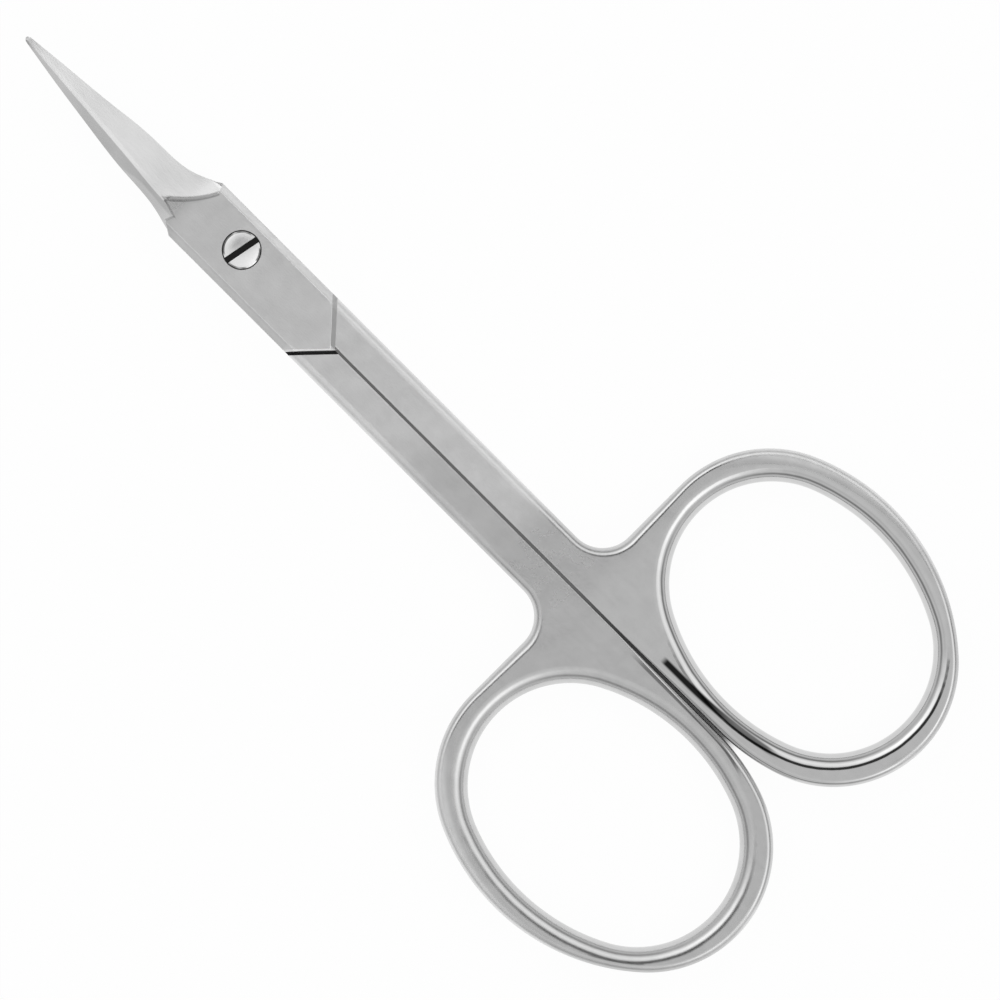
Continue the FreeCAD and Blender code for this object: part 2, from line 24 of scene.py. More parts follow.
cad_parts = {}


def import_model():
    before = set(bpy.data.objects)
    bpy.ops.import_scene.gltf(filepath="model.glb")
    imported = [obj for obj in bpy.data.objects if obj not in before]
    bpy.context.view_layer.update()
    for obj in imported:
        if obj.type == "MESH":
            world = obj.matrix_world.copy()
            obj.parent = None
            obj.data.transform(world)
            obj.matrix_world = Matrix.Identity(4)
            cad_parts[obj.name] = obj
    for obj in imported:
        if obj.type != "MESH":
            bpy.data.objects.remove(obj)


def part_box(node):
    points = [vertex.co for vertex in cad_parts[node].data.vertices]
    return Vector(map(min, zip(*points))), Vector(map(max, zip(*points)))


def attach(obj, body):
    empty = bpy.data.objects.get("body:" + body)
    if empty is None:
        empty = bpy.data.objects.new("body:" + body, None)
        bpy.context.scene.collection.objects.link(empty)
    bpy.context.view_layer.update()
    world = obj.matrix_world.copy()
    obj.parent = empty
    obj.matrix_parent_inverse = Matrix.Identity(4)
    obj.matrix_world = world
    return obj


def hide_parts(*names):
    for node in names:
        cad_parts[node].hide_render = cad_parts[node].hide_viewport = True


LOG = logging.getLogger("scissors")
# Metres in a millimetre.
MM = 0.001
# Points nearer than this, in millimetres, are one point.
MERGE = 1e-4
# How close to a plane an open edge lies to be part of its rim, in millimetres.
ON_PLANE = 2e-3
# Faces that meet at a wider angle than this have a crisp edge between them.
CRISP = math.radians(24)
# Faces that meet at a smaller angle than this are made one, on a finished piece.
LEVEL = math.radians(0.06)
# The same on a piece whose edges are still to be rounded.
FLAT = math.radians(0.2)
# Keeps a root in a material above zero.
TINY = 1e-6
# Where a mask starts to rise and where it is full.
Span = tuple[float, float]


class Turn(Enum):
    """Which way up a half lies. The value is the sign of the half's own height in the model."""

    FRONT = 1
    REAR = -1


class Joinery(Enum):
    """How two closed shapes are put together."""

    FUSE = "UNION"
    CUT = "DIFFERENCE"


@dataclass(frozen=True)
class Leg:
    """One stretch of an outline in plan: a straight, or an arc with a signed radius.

    A positive bend turns left from start to end, a negative one right, and zero is straight.
    """

    start: tuple[float, float]
    end: tuple[float, float]
    bend: float = 0.0

    def sample(self, spacing: float) -> np.ndarray:
        """Evenly spaced points from the start up to, but without, the end.

        A straight is start + t (end - start). An arc turns the start about its centre, which
        lies square to the chord's middle, at the root of radius squared less half the chord
        squared.

        Args:
            spacing: The widest step between points.

        Returns:
            The points, (count, 2).
        """
        start = np.array(self.start)
        chord = np.array(self.end) - start
        length = float(np.hypot(*chord))
        if not self.bend:
            count = max(1, math.ceil(length / spacing))
            return start + np.arange(count)[:, None] / count * chord
        radius, hand = abs(self.bend), math.copysign(1.0, self.bend)
        left = np.array([-chord[1], chord[0]]) / length
        centre = start + chord / 2 + left * hand * math.sqrt(max(radius**2 - length**2 / 4, 0.0))
        opening = 2 * math.asin(min(1.0, length / 2 / radius))
        count = max(1, math.ceil(opening * radius / spacing))
        angle = np.arange(count) / count * opening * hand
        arm = start - centre
        return centre + np.stack([
            arm[0] * np.cos(angle) - arm[1] * np.sin(angle),
            arm[0] * np.sin(angle) + arm[1] * np.cos(angle),
        ], axis=1)


def right_normals(line: np.ndarray) -> np.ndarray:
    """Unit normals to the right of a closed line.

    Each is square to the direction from the point's last neighbour to its next.

    Args:
        line: The line's points, (count, 2), the first not repeated.

    Returns:
        The normals, (count, 2).
    """
    along = np.roll(line, -1, axis=0) - np.roll(line, 1, axis=0)
    along /= np.linalg.norm(along, axis=1)[:, None]
    return np.stack([along[:, 1], -along[:, 0]], axis=1)


def spline(stations: Sequence[float], values: Sequence[float], at: np.ndarray) -> np.ndarray:
    """A natural cubic spline through values at stations.

    The slopes' own slopes M solve the usual tridiagonal system, and between two stations the
    curve is the straight line plus the cubic terms in M.

    Args:
        stations: Where the values stand, rising.
        values: The values.
        at: Where the curve is wanted.

    Returns:
        The curve at those places.
    """
    x, y = np.array(stations), np.array(values)
    step, rise = np.diff(x), np.diff(y) / np.diff(x)
    system = np.eye(len(x))
    pull = np.zeros(len(x))
    inner = np.arange(1, len(x) - 1)
    system[inner, inner - 1] = step[:-1]
    system[inner, inner] = 2 * (step[:-1] + step[1:])
    system[inner, inner + 1] = step[1:]
    pull[inner] = 6 * np.diff(rise)
    bend = np.linalg.solve(system, pull)
    k = np.clip(np.searchsorted(x, at) - 1, 0, len(step) - 1)
    after, before = at - x[k], x[k + 1] - at
    return ((bend[k] * before**3 + bend[k + 1] * after**3) / (6 * step[k])
            + (y[k] / step[k] - bend[k] * step[k] / 6) * before
            + (y[k + 1] / step[k] - bend[k + 1] * step[k] / 6) * after)


def ring(centre: tuple[float, float], radius: float, height: float, count: int) -> np.ndarray:
    """A level circle: centre + radius (cos a, sin a), at one height.

    Args:
        centre: Its centre in plan.
        radius: Its radius.
        height: Its height.
        count: How many points.

    Returns:
        The points, (count, 3), counter-clockwise.
    """
    angle = np.linspace(0, 2 * math.pi, count, endpoint=False)
    return np.stack([centre[0] + radius * np.cos(angle), centre[1] + radius * np.sin(angle),
                     np.full(count, height)], axis=1)


def upright(line: np.ndarray, low: float, high: float) -> np.ndarray:
    """An upright wall: every point of a line in plan, at two heights.

    Args:
        line: The line, (count, 2).
        low: The lower height.
        high: The upper height.

    Returns:
        The wall, (count, 2, 3).
    """
    return np.stack([np.c_[line, np.full(len(line), level)] for level in (low, high)], axis=1)


def prism(name: str, outline: Sequence[tuple[float, float]], low: float,
          high: float) -> bpy.types.Object:
    """A straight block over an outline, used to cut with.

    Args:
        name: The object's name.
        outline: Its corners in plan.
        low: Height of its underside.
        high: Height of its upper side.

    Returns:
        The block.
    """
    shell = Shell()
    shell.grid(upright(np.array(outline), low, high), closed=True)
    shell.sew()
    shell.cap((0, 0, -1), (0, 0, low))
    shell.cap((0, 0, 1), (0, 0, high))
    return shell.finished(name)


class Shell:
    """A closed mesh in the making: grids sewn along shared points, and flat caps."""

    def __init__(self) -> None:
        """Start with nothing."""
        self.points: list[np.ndarray] = []
        self.faces: list[np.ndarray] = []
        self.count = 0
        self.body = bmesh.new()

    def grid(self, surface: np.ndarray, closed: bool = False) -> None:
        """Add a surface given on a grid of two parameters.

        Args:
            surface: The grid, (rows, columns, 3).
            closed: Whether the last row joins the first.
        """
        rows, columns = surface.shape[:2]
        index = np.arange(rows * columns).reshape(rows, columns) + self.count
        if closed:
            index = np.concatenate([index, index[:1]])
        quads = np.stack([index[:-1, :-1], index[1:, :-1], index[1:, 1:], index[:-1, 1:]], axis=-1)
        self.points.append(surface.reshape(-1, 3))
        self.faces.append(quads.reshape(-1, 4))
        self.count += rows * columns

    def sew(self) -> None:
        """Turn the grids into one mesh, with doubled points made one."""
        raw = bpy.data.meshes.new("grids")
        raw.from_pydata(np.concatenate(self.points).tolist(), [],
                        np.concatenate(self.faces).tolist())
        self.body.from_mesh(raw)
        bpy.data.meshes.remove(raw)
        bmesh.ops.remove_doubles(self.body, verts=self.body.verts, dist=MERGE)
        bmesh.ops.dissolve_degenerate(self.body, dist=MERGE / 2, edges=self.body.edges)

    def cap(self, normal: Sequence[float], through: Sequence[float]) -> None:
        """Close the open edges that lie in one plane with flat faces, holes left open.

        Args:
            normal: The plane's normal.
            through: A point of the plane.
        """
        facing, origin = Vector(normal).normalized(), Vector(through)
        rim = [edge for edge in self.body.edges if len(edge.link_faces) < 2
               and all(abs((vert.co - origin).dot(facing)) < ON_PLANE for vert in edge.verts)]
        bmesh.ops.triangle_fill(self.body, use_beauty=True, edges=rim, normal=facing)

    def grind(self, normal: Sequence[float], through: Sequence[float]) -> None:
        """Take off all that lies beyond a plane, and close the cut.

        Args:
            normal: The plane's normal, towards what is taken off.
            through: A point of the plane.
        """
        everything = [*self.body.verts, *self.body.edges, *self.body.faces]
        bmesh.ops.bisect_plane(self.body, geom=everything, dist=MERGE / 10,
                               plane_co=Vector(through), plane_no=Vector(normal).normalized(),
                               clear_outer=True)
        self.cap(normal, through)

    def ease(self, width: float, steps: int = 2) -> None:
        """Round off the crisp edges a little.

        Args:
            width: How far the rounding reaches to either side.
            steps: How many faces make it.
        """
        bmesh.ops.recalc_face_normals(self.body, faces=self.body.faces)
        bmesh.ops.dissolve_limit(self.body, angle_limit=FLAT,
                                 verts=self.body.verts, edges=self.body.edges)
        crisp = [edge for edge in self.body.edges
                 if len(edge.link_faces) == 2 and edge.calc_face_angle(0.0) > CRISP]
        bmesh.ops.bevel(self.body, geom=crisp, offset=width, segments=steps, profile=0.5,
                        affect="EDGES", clamp_overlap=True)

    def finished(self, name: str) -> bpy.types.Object:
        """The shell as an object, its faces pointing out.

        Args:
            name: The object's name.

        Returns:
            The object, linked to the scene.
        """
        bmesh.ops.triangulate(self.body, faces=[f for f in self.body.faces if len(f.verts) > 4])
        bmesh.ops.recalc_face_normals(self.body, faces=self.body.faces)
        open_edges = sum(1 for edge in self.body.edges if len(edge.link_faces) != 2)
        if open_edges:
            LOG.warning("%s has %d open edges", name, open_edges)
        mesh = bpy.data.meshes.new(name)
        self.body.to_mesh(mesh)
        self.body.free()
        made = bpy.data.objects.new(name, mesh)
        bpy.context.scene.collection.objects.link(made)
        return made


def work(target: bpy.types.Object, tool: bpy.types.Object, how: Joinery) -> None:
    """Fuse a closed shape to another, or cut one with the other. The tool is used up.

    Args:
        target: The object that is changed.
        tool: The object that is added or taken away.
        how: Which of the two.
    """
    step = target.modifiers.new("work", "BOOLEAN")
    step.operation = how.value
    step.solver = "EXACT"
    step.object = tool
    apply_modifiers(target)
    bpy.data.objects.remove(tool)


def apply_modifiers(piece: bpy.types.Object) -> None:
    """Put what an object's modifiers make into its mesh, and drop them.

    Args:
        piece: The object.
    """
    graph = bpy.context.evaluated_depsgraph_get()
    made = bpy.data.meshes.new_from_object(piece.evaluated_get(graph))
    rim_shade_spread = piece.data
    piece.modifiers.clear()
    piece.data = made
    made.name = piece.name
    bpy.data.meshes.remove(rim_shade_spread)


def smooth(piece: bpy.types.Object) -> None:
    """Shade an object smooth, with crisp edges and normals led by its large faces.

    Args:
        piece: The object.
    """
    body = bmesh.new()
    body.from_mesh(piece.data)
    bmesh.ops.dissolve_limit(body, angle_limit=LEVEL, verts=[], edges=body.edges)
    body.to_mesh(piece.data)
    body.free()
    piece.data.shade_smooth()
    piece.data.set_sharp_from_angle(angle=CRISP)
    weigh = piece.modifiers.new("weigh", "WEIGHTED_NORMAL")
    weigh.keep_sharp = True
    weigh.mode = "FACE_AREA"
    weigh.weight = 100
    weigh.thresh = 1.0
    apply_modifiers(piece)


@dataclass(frozen=True)
class Lap:
    """The lap joint's sizes, which every piece of both halves shares."""

    thickness: float = 1.75
    ride_gap: float = 0.06
    pivot_offset: float = 0.31
    shank_edge: float = 2.98
    shank_thickness: float = 3.0
    parting_gap: float = 0.18
    step_edge: float = 8.02
    step_middle: float = 10.74
    free_edge: float = 8.06
    free_middle: float = 10.90
    seat_gap: float = 0.42

    @property
    def face(self) -> float:
        """Height of the riding face over the mating plane."""
        return self.ride_gap / 2

    @property
    def mate(self) -> float:
        """Height of the mating plane over the table."""
        return self.thickness + self.face

    @property
    def half(self) -> float:
        """From the mating plane to either face of a shank."""
        return self.shank_thickness / 2

    @property
    def top(self) -> float:
        """Height of a plate's outer face over the mating plane."""
        return self.face + self.thickness

    @property
    def parting(self) -> float:
        """Side of a shank's parting face."""
        return self.parting_gap / 2

    def seat_back(self, side: float | np.ndarray) -> float | np.ndarray:
        """The x of the wall that stops the other half's plate, at a side."""
        slope = (self.free_middle - self.free_edge) / self.shank_edge
        return -(self.free_edge + self.seat_gap + slope * (self.shank_edge - side))

    def place(self, piece: bpy.types.Object, turn: Turn) -> None:
        """Move a mesh from the half's own frame in millimetres to the model's in metres.

        (x, side, height) becomes (x, pivot offset - turn side, mate + turn height).

        Args:
            piece: The object with the mesh.
            turn: Which way up its half lies.
        """
        moved = Matrix(((1, 0, 0, 0), (0, -turn.value, 0, self.pivot_offset),
                        (0, 0, turn.value, self.mate), (0, 0, 0, 1)))
        piece.data.transform(Matrix.Scale(MM, 4) @ moved)
        piece.data.flip_normals()


@dataclass(frozen=True)
class Plunge:
    """The front of the plate: the arc that the grinding wheel cut into it, and the tongue."""

    lap: Lap
    slope_reach: float = 4.90
    corner_reach: float = 5.95
    corner_side: float = 2.28
    notch_reach: float = 5.65
    notch_side: float = 1.62
    tongue_reach: float = 7.15
    tongue_side: float = 1.14
    radius: float = 9.0
    reach: float = 4.45
    side: float = 2.08
    end: float = 4.75
    fillet: float = 0.34
    fillet_share: float = 0.75

    @property
    def centre(self) -> np.ndarray:
        """Centre of the wheel's arc, which lies ahead of the plate.

        Returns:
            Its place in plan.
        """
        start = np.array([self.tongue_reach, -self.tongue_side])
        chord = np.array([self.reach, self.side]) - start
        length = float(np.hypot(*chord))
        right = np.array([chord[1], -chord[0]]) / length
        return start + chord / 2 + right * math.sqrt(self.radius**2 - length**2 / 4)

    def lift(self, x: np.ndarray, side: np.ndarray, over: np.ndarray) -> np.ndarray:
        """How far the wheel's rounded edge leaves the ground face higher than its plane.

        At a distance d from the plate's front, the fillet of radius r stands
        r - sqrt(r^2 - (r - d)^2) over the face. It takes a share of the step at most.

        Args:
            x: Where the points are.
            side: Their sides.
            over: Their heights over the riding face.

        Returns:
            What is added to those heights.
        """
        away = np.maximum(self.radius - np.hypot(x - self.centre[0], side - self.centre[1]),
                          x - self.tongue_reach)
        step = np.maximum(self.lap.thickness - over, 0.0)
        fillet = np.minimum(self.fillet, step * self.fillet_share)
        short = np.clip(fillet - away, 0.0, fillet)
        along = np.clip((side + self.tongue_side) / self.fillet, 0.0, 1.0)
        return (fillet - np.sqrt(fillet**2 - short**2)) * along


@dataclass(frozen=True)
class Handle:
    """One half's shank, web and finger bow, forged in one, with its edges rounded by hand."""

    lap: Lap
    tuck: float = 1.0
    tuck_inset: float = 0.05
    ease_start: float = 42.0
    bow_back: float = 51.82
    hole_half_length: float = 11.64
    hole_half_width: float = 8.87
    hole_ease: float = 0.75
    hole_lean: float = math.radians(3.6)
    band_parting: float = 2.10
    band_outer: float = 2.30
    band_end: float = 2.52
    band_radius: float = 1.77
    flat_run: float = 2.34
    flat_lift: float = 0.39
    rim_rise: float = 1.36
    web_fillet: float = 2.90
    shank_round: float = 0.67
    web_round: float = 0.80
    bow_round: float = 0.60
    hole_round: float = 1.40
    parting_round: float = 0.12
    spacing: float = 0.22
    round_steps: int = 12

    @property
    def hole_end_radius(self) -> float:
        """Radius of the hole's two ends."""
        return self.hole_half_width - self.hole_ease

    @property
    def hole_side(self) -> float:
        """Side of the hole's centre."""
        return self.lap.parting + self.band_parting + self.hole_half_width

    @property
    def rim_radius(self) -> float:
        """Radius of the outside's two ends."""
        return self.hole_end_radius + self.band_radius

    @property
    def far_end(self) -> np.ndarray:
        """Centre of the outside's far end arc."""
        back = self.bow_back + self.hole_half_length + self.band_end - self.rim_radius
        return np.array([-back, self.lap.parting + self.rim_radius + self.flat_lift])

    @property
    def near_end(self) -> np.ndarray:
        """Centre of the outside's near end arc, over the web."""
        back = self.bow_back - self.hole_half_length - self.band_end + self.rim_radius
        return np.array([-back, self.far_end[1] + self.rim_rise])

    @property
    def web_front(self) -> float:
        """From the screw to the web's front edge."""
        return -self.near_end[0] - self.rim_radius

    @property
    def bar_end(self) -> float:
        """From the screw to the end of the straight shank."""
        return self.web_front - self.web_fillet

    def hole_line(self) -> list[Leg]:
        """The finger hole: an oval of four tangent arcs, its far end leaning in.

        A small end arc meets a large flank arc on the line through their two centres.

        Returns:
            The four arcs.
        """
        small = self.hole_end_radius
        run = self.hole_half_length - small
        flank = (run**2 + self.hole_half_width**2 - small**2) / (2 * self.hole_ease)
        rise = flank - self.hole_half_width
        slant = math.hypot(run, rise)
        reach = np.array([run + small * run / slant, small * rise / slant])
        corners = np.array([[1, -1], [1, 1], [-1, 1], [-1, -1]]) * reach
        cos, sin = math.cos(self.hole_lean), math.sin(self.hole_lean)
        spots = corners @ np.array([[cos, sin], [-sin, cos]]) + (-self.bow_back, self.hole_side)
        return [Leg(tuple(spots[k]), tuple(spots[(k + 1) % 4]), (small, flank)[k % 2])
                for k in range(4)]

    def outer_line(self) -> tuple[list[Leg], list[float]]:
        """The outside of bow, web and shank, starting where the straight parting face ends.

        Arcs meet where the line through their two centres crosses them.

        Returns:
            The legs, and the hand rounding at the start of each.
        """
        lap, rim, far, near = self.lap, self.rim_radius, self.far_end, self.near_end
        flat_radius = ((self.flat_run**2 + 2 * rim * self.flat_lift + self.flat_lift**2)
                       / (2 * self.flat_lift))
        flat = np.array([far[0] + self.flat_run, lap.parting + flat_radius])
        bulge = self.hole_half_width + self.band_outer - rim
        span = float(np.hypot(*(near - far)))
        sink = ((span / 2) ** 2 - bulge**2) / (2 * bulge)
        flank_radius = rim + bulge + sink
        across = np.array([near[1] - far[1], far[0] - near[0]]) / span
        flank = (far + near) / 2 + sink * across

        def meeting(small: np.ndarray, large: np.ndarray, radius: float) -> tuple[float, float]:
            """Where the rim's arc about one centre meets a larger arc about another."""
            return tuple(small + (small - large) * rim / (radius - rim))

        inset, small = self.tuck_inset, self.parting_round
        stops = [
            ((flat[0], lap.parting), -flat_radius, self.bow_round),
            (meeting(far, flat, flat_radius), -rim, self.bow_round),
            (meeting(far, flank, flank_radius), -flank_radius, self.bow_round),
            (meeting(near, flank, flank_radius), -rim, self.bow_round),
            ((-self.web_front, near[1]), 0.0, self.bow_round),
            ((-self.web_front, lap.shank_edge + self.web_fillet), self.web_fillet, self.web_round),
            ((-self.bar_end, lap.shank_edge), 0.0, self.shank_round),
            ((-lap.step_edge, lap.shank_edge), 0.0, self.shank_round),
            ((self.tuck - lap.step_edge, lap.shank_edge - inset), 0.0, small),
            ((self.tuck - lap.step_middle, lap.parting + inset), 0.0, small),
            ((-lap.step_middle, lap.parting), 0.0, small),
            ((-self.ease_start, lap.parting), 0.0, small),
        ]
        legs = [Leg(stop[0], stops[(k + 1) % len(stops)][0], stop[1])
                for k, stop in enumerate(stops)]
        return legs, [stop[2] for stop in stops]

    def profile(self, line: np.ndarray, rounding: np.ndarray) -> np.ndarray:
        """Carry the edge's section along a line, from the upper face down to the lower one.

        The section is a quarter circle of the local rounding r, a wall, and the circle's
        mirror image: at angle a the circle lies r (1 - sin a) inside the line and
        r (1 - cos a) under the face.

        Args:
            line: The line in plan, (count, 2), the material on its right.
            rounding: The rounding at each of its points.

        Returns:
            The surface, (count, rows, 3).
        """
        angle = np.linspace(0, math.pi / 2, self.round_steps + 1)
        inside = rounding[:, None] * (1 - np.sin(angle))
        height = self.lap.half - rounding[:, None] * (1 - np.cos(angle))
        inside = np.concatenate([inside, inside[:, ::-1]], axis=1)
        height = np.concatenate([height, -height[:, ::-1]], axis=1)
        plan = line[:, None, :] + right_normals(line)[:, None, :] * inside[..., None]
        return np.concatenate([plan, height[..., None]], axis=2)

    def build(self, name: str) -> bpy.types.Object:
        """Make the handle: rounded strips along its outlines and two flat faces.

        Args:
            name: The object's name.

        Returns:
            The handle in the half's own frame.
        """
        lap, shell = self.lap, Shell()
        hole = np.concatenate([leg.sample(self.spacing) for leg in self.hole_line()])
        shell.grid(self.profile(hole, np.full(len(hole), self.hole_round)), closed=True)
        legs, rounds = self.outer_line()
        parts = [leg.sample(self.spacing) for leg in legs]
        rounding = np.concatenate([
            np.linspace(rounds[k], rounds[(k + 1) % len(rounds)], len(part), endpoint=False)
            for k, part in enumerate(parts)])
        shell.grid(self.profile(np.concatenate(parts), rounding), closed=True)
        shell.sew()
        shell.cap((0, 0, 1), (0, 0, lap.half))
        shell.cap((0, 0, -1), (0, 0, -lap.half))
        handle = shell.finished(name)

        # under the plate the handle's end stays clear of the plate's own faces
        out, far = lap.shank_thickness * 2, -lap.shank_thickness
        slope = (lap.step_middle - lap.step_edge) / lap.shank_edge
        start = -self.tuck_inset - lap.step_middle
        tuck = [(start - slope * out, -out), (out, -out), (out, out), (start + slope * out, out)]
        work(handle, prism("tuck", tuck, far, lap.face + self.tuck_inset), Joinery.CUT)
        return handle


@dataclass(frozen=True)
class Plate:
    """The flat plate at the joint, with its bevels, its bore and the plunge cut's front."""

    lap: Lap
    turn: Turn
    plunge: Plunge
    screw: Screw
    bevel_across: float = 0.62
    bevel_down: float = 0.36
    step_across: float = 0.38
    free_bevel: float = 0.10
    shank_gap: float = 0.03
    thread_gap: float = 0.01
    eased: float = 0.04
    spare: float = 0.10
    spacing: float = 0.3
    hole_points: int = 96

    def build(self) -> Shell:
        """Make the plate: a prism with its bore, then ground along four edges.

        Returns:
            The plate in the half's own frame.
        """
        lap, shell, legs = self.lap, Shell(), self.outline()
        line = np.concatenate([leg.sample(self.spacing if leg.bend else math.inf)
                               for leg in legs.values()])
        floor = lap.face - self.spare
        shell.grid(upright(line, floor, lap.top), closed=True)
        shell.grid(self.bore(floor), closed=True)
        shell.sew()
        shell.cap((0, 0, -1), (0, 0, floor))
        shell.cap((0, 0, 1), (0, 0, lap.top))

        for name, across, down in (("bow_edge", self.bevel_across, self.bevel_down),
                                   ("spine_edge", self.bevel_across, self.bevel_down),
                                   ("step", self.step_across, lap.top - lap.half),
                                   ("free_end", self.free_bevel, self.free_bevel)):
            start, end = np.array(legs[name].start), np.array(legs[name].end)
            run = (end - start) / np.hypot(*(end - start))
            out = np.array([run[1], -run[0]])
            shell.grind((*(out * down), across), (*start, lap.top - down))
        shell.ease(self.eased)
        return shell

    def outline(self) -> dict[str, Leg]:
        """The plate's outline in plan, each leg under a name of its own.

        Returns:
            The legs in order.
        """
        lap, cut, edge = self.lap, self.plunge, self.lap.shank_edge
        starts = {
            "step": (-lap.step_edge, edge),
            "parting": (-lap.step_middle, 0.0),
            "free_end": (-lap.free_middle, 0.0),
            "spine_edge": (-lap.free_edge, -edge),
            "slope": (cut.slope_reach, -edge),
            "corner": (cut.corner_reach, -cut.corner_side),
            "notch": (cut.notch_reach, -cut.notch_side),
            "wheel": (cut.tongue_reach, -cut.tongue_side),
            "root": (cut.reach, cut.side),
            "bow_edge": (cut.end, edge),
        }
        ends = [*starts.values()][1:] + [starts["step"]]
        return {name: Leg(start, end, -cut.radius if name == "wheel" else 0.0)
                for (name, start), end in zip(starts.items(), ends)}

    def bore(self, floor: float) -> np.ndarray:
        """The wall of the screw's hole, counterbored in the front plate for the head.

        Args:
            floor: Height of the hole's lower end.

        Returns:
            The wall, (count, rows, 3).
        """
        lap, screw, steps = self.lap, self.screw, []
        gap = self.shank_gap if self.turn is Turn.FRONT else self.thread_gap
        sides = [(screw.radius + gap, lap.top)]
        if self.turn is Turn.FRONT:
            sides = [(screw.radius + gap, lap.top - screw.head_depth),
                     (screw.head_radius + screw.head_gap, lap.top)]
        for radius, high in sides:
            steps += [(radius, floor), (radius, high)]
            floor = high
        axis = (0.0, self.turn.value * lap.pivot_offset)
        return np.stack([ring(axis, radius, height, self.hole_points)
                         for radius, height in steps], axis=1)


@dataclass(frozen=True)
class Blade:
    """A ground blade: its land, ground face, ridge, spine and riding face, curving up to the tip.
    """

    lap: Lap
    turn: Turn
    plunge: Plunge
    tip_reach: float = 23.8
    root_reach: float = 3.80
    shoulder_reach: float = 5.20
    neck_reach: float = 6.90
    root_edge_side: float = 2.75
    shoulder_edge_side: float = 2.66
    neck_edge_side: float = 2.03
    root_spine_side: float = 2.86
    shoulder_spine_side: float = 2.72
    neck_spine_side: float = 2.30
    neck_ridge_side: float = 1.31
    front_bulge: float = 0.19
    rear_bulge: float = 0.03
    tip_lean: float = 0.16
    tip_width: float = 0.42
    tip_round: float = 0.35
    root_ridge: float = 1.64
    neck_ridge: float = 1.54
    tip_ridge: float = 0.30
    spine_drop: float = 0.36
    tip_drop: float = 0.08
    hidden_inset: float = 0.32
    root_land: float = 0.50
    edge_land: float = 0.12
    curve_start: float = 6.0
    curve_radius: float = 50.0
    spare: float = 0.16
    ride_step: float = 0.3
    ride_columns: int = 25
    fine_to: float = 8.2
    fine_step: float = 0.06
    rows: int = 110
    face_columns: int = 48
    columns: int = 8

    def rise(self, reach: np.ndarray) -> np.ndarray:
        """How far the blade has curved up at a distance: R - sqrt(R^2 - past^2)."""
        past = np.maximum(reach - self.curve_start, 0.0)
        return self.curve_radius - np.sqrt(self.curve_radius**2 - past**2)

    def corners(self, x: np.ndarray) -> dict[str, tuple[np.ndarray, np.ndarray]]:
        """Side and height over the riding face of the section's corners along the blade.

        Splines run through the root, the shoulder, the neck and the tip. The spine bows
        out by 4 t (1 - t) of its bulge between the neck and the tip.

        Args:
            x: Where the sections stand.

        Returns:
            For each corner its side and its height at every section.
        """
        lean = self.turn.value * self.tip_lean
        bulge = self.front_bulge if self.turn is Turn.FRONT else self.rear_bulge
        shares = np.array([0.0, 0.25, 0.5, 0.75, 1.0])
        stations = np.r_[self.root_reach, self.shoulder_reach,
                         self.neck_reach + shares * (self.tip_reach - self.neck_reach)]

        def along(root: float, shoulder: float, neck: float, tip: float,
                  bow: float = 0.0) -> np.ndarray:
            """A spline through the blade's stations, straight but for a bow past the neck."""
            outer = neck + (tip - neck) * shares - bow * 4 * shares * (1 - shares)
            return spline(stations, np.r_[root, shoulder, outer], x)

        wide = self.tip_width
        edge = along(self.root_edge_side, self.shoulder_edge_side, self.neck_edge_side,
                     lean + wide / 2)
        ridge = along(-self.neck_ridge_side, -self.neck_ridge_side, -self.neck_ridge_side,
                      lean - wide / 4)
        # the lower blade's spine stays hidden behind the upper blade's cutting edge
        hidden = self.hidden_inset if self.turn is Turn.REAR else 0.0
        spine = along(-self.root_spine_side, -self.shoulder_spine_side,
                      hidden - self.neck_spine_side, lean - wide / 2, bulge)
        land = along(self.root_land, (self.root_land + self.edge_land) / 2, self.edge_land,
                     self.edge_land)
        high = along(self.root_ridge, (self.root_ridge + self.neck_ridge) / 2, self.neck_ridge,
                     self.tip_ridge)
        drop = along(self.spine_drop, self.spine_drop, self.spine_drop, self.tip_drop)

        return {"edge": (edge, land), "ridge": (ridge, high), "spine": (spine, high - drop)}

    def build(self) -> Shell:
        """Make the blade as four strips round it, an underside and an end inside the plate.

        Returns:
            The blade in the half's own frame, its underside still to be cut.
        """
        lap, shell = self.lap, Shell()
        turn = np.linspace(0, math.pi / 2, self.rows)
        x = np.r_[np.arange(self.root_reach, self.fine_to, self.fine_step),
                  self.fine_to + (self.tip_reach - self.fine_to) * np.sin(turn)]
        corners = self.corners(x)
        (edge, land), (ridge, high), (spine, low) = (corners[k] for k in ("edge", "ridge", "spine"))
        past = np.clip((x - self.tip_reach + self.tip_round) / self.tip_round, 0, 1)
        pinch = np.sqrt(1 - past**2)[:, None]
        middle, point = ((edge + spine) / 2)[:, None], self.edge_land / 2
        stand = x[:, None]

        def strip(side_a: np.ndarray, over_a: np.ndarray, side_b: np.ndarray, over_b: np.ndarray,
                  columns: int) -> np.ndarray:
            """The strip between two corners, drawn to a point at the tip and curving up.

            Args:
                side_a: The first corner's sides.
                over_a: Its heights over the riding face.
                side_b: The second corner's sides.
                over_b: Its heights.
                columns: How many faces lie across.

            Returns:
                The strip, (count, columns + 1, 3).
            """
            t = np.linspace(0, 1, columns + 1)
            side = side_a[:, None] + (side_b - side_a)[:, None] * t
            over = over_a[:, None] + (over_b - over_a)[:, None] * t
            over = over + self.plunge.lift(stand, side, over)
            side = middle + (side - middle) * pinch
            over = point + (over - point) * pinch
            height = lap.face + over + self.turn.value * self.rise(stand)
            return np.stack([np.broadcast_to(stand, side.shape), side, height], axis=2)

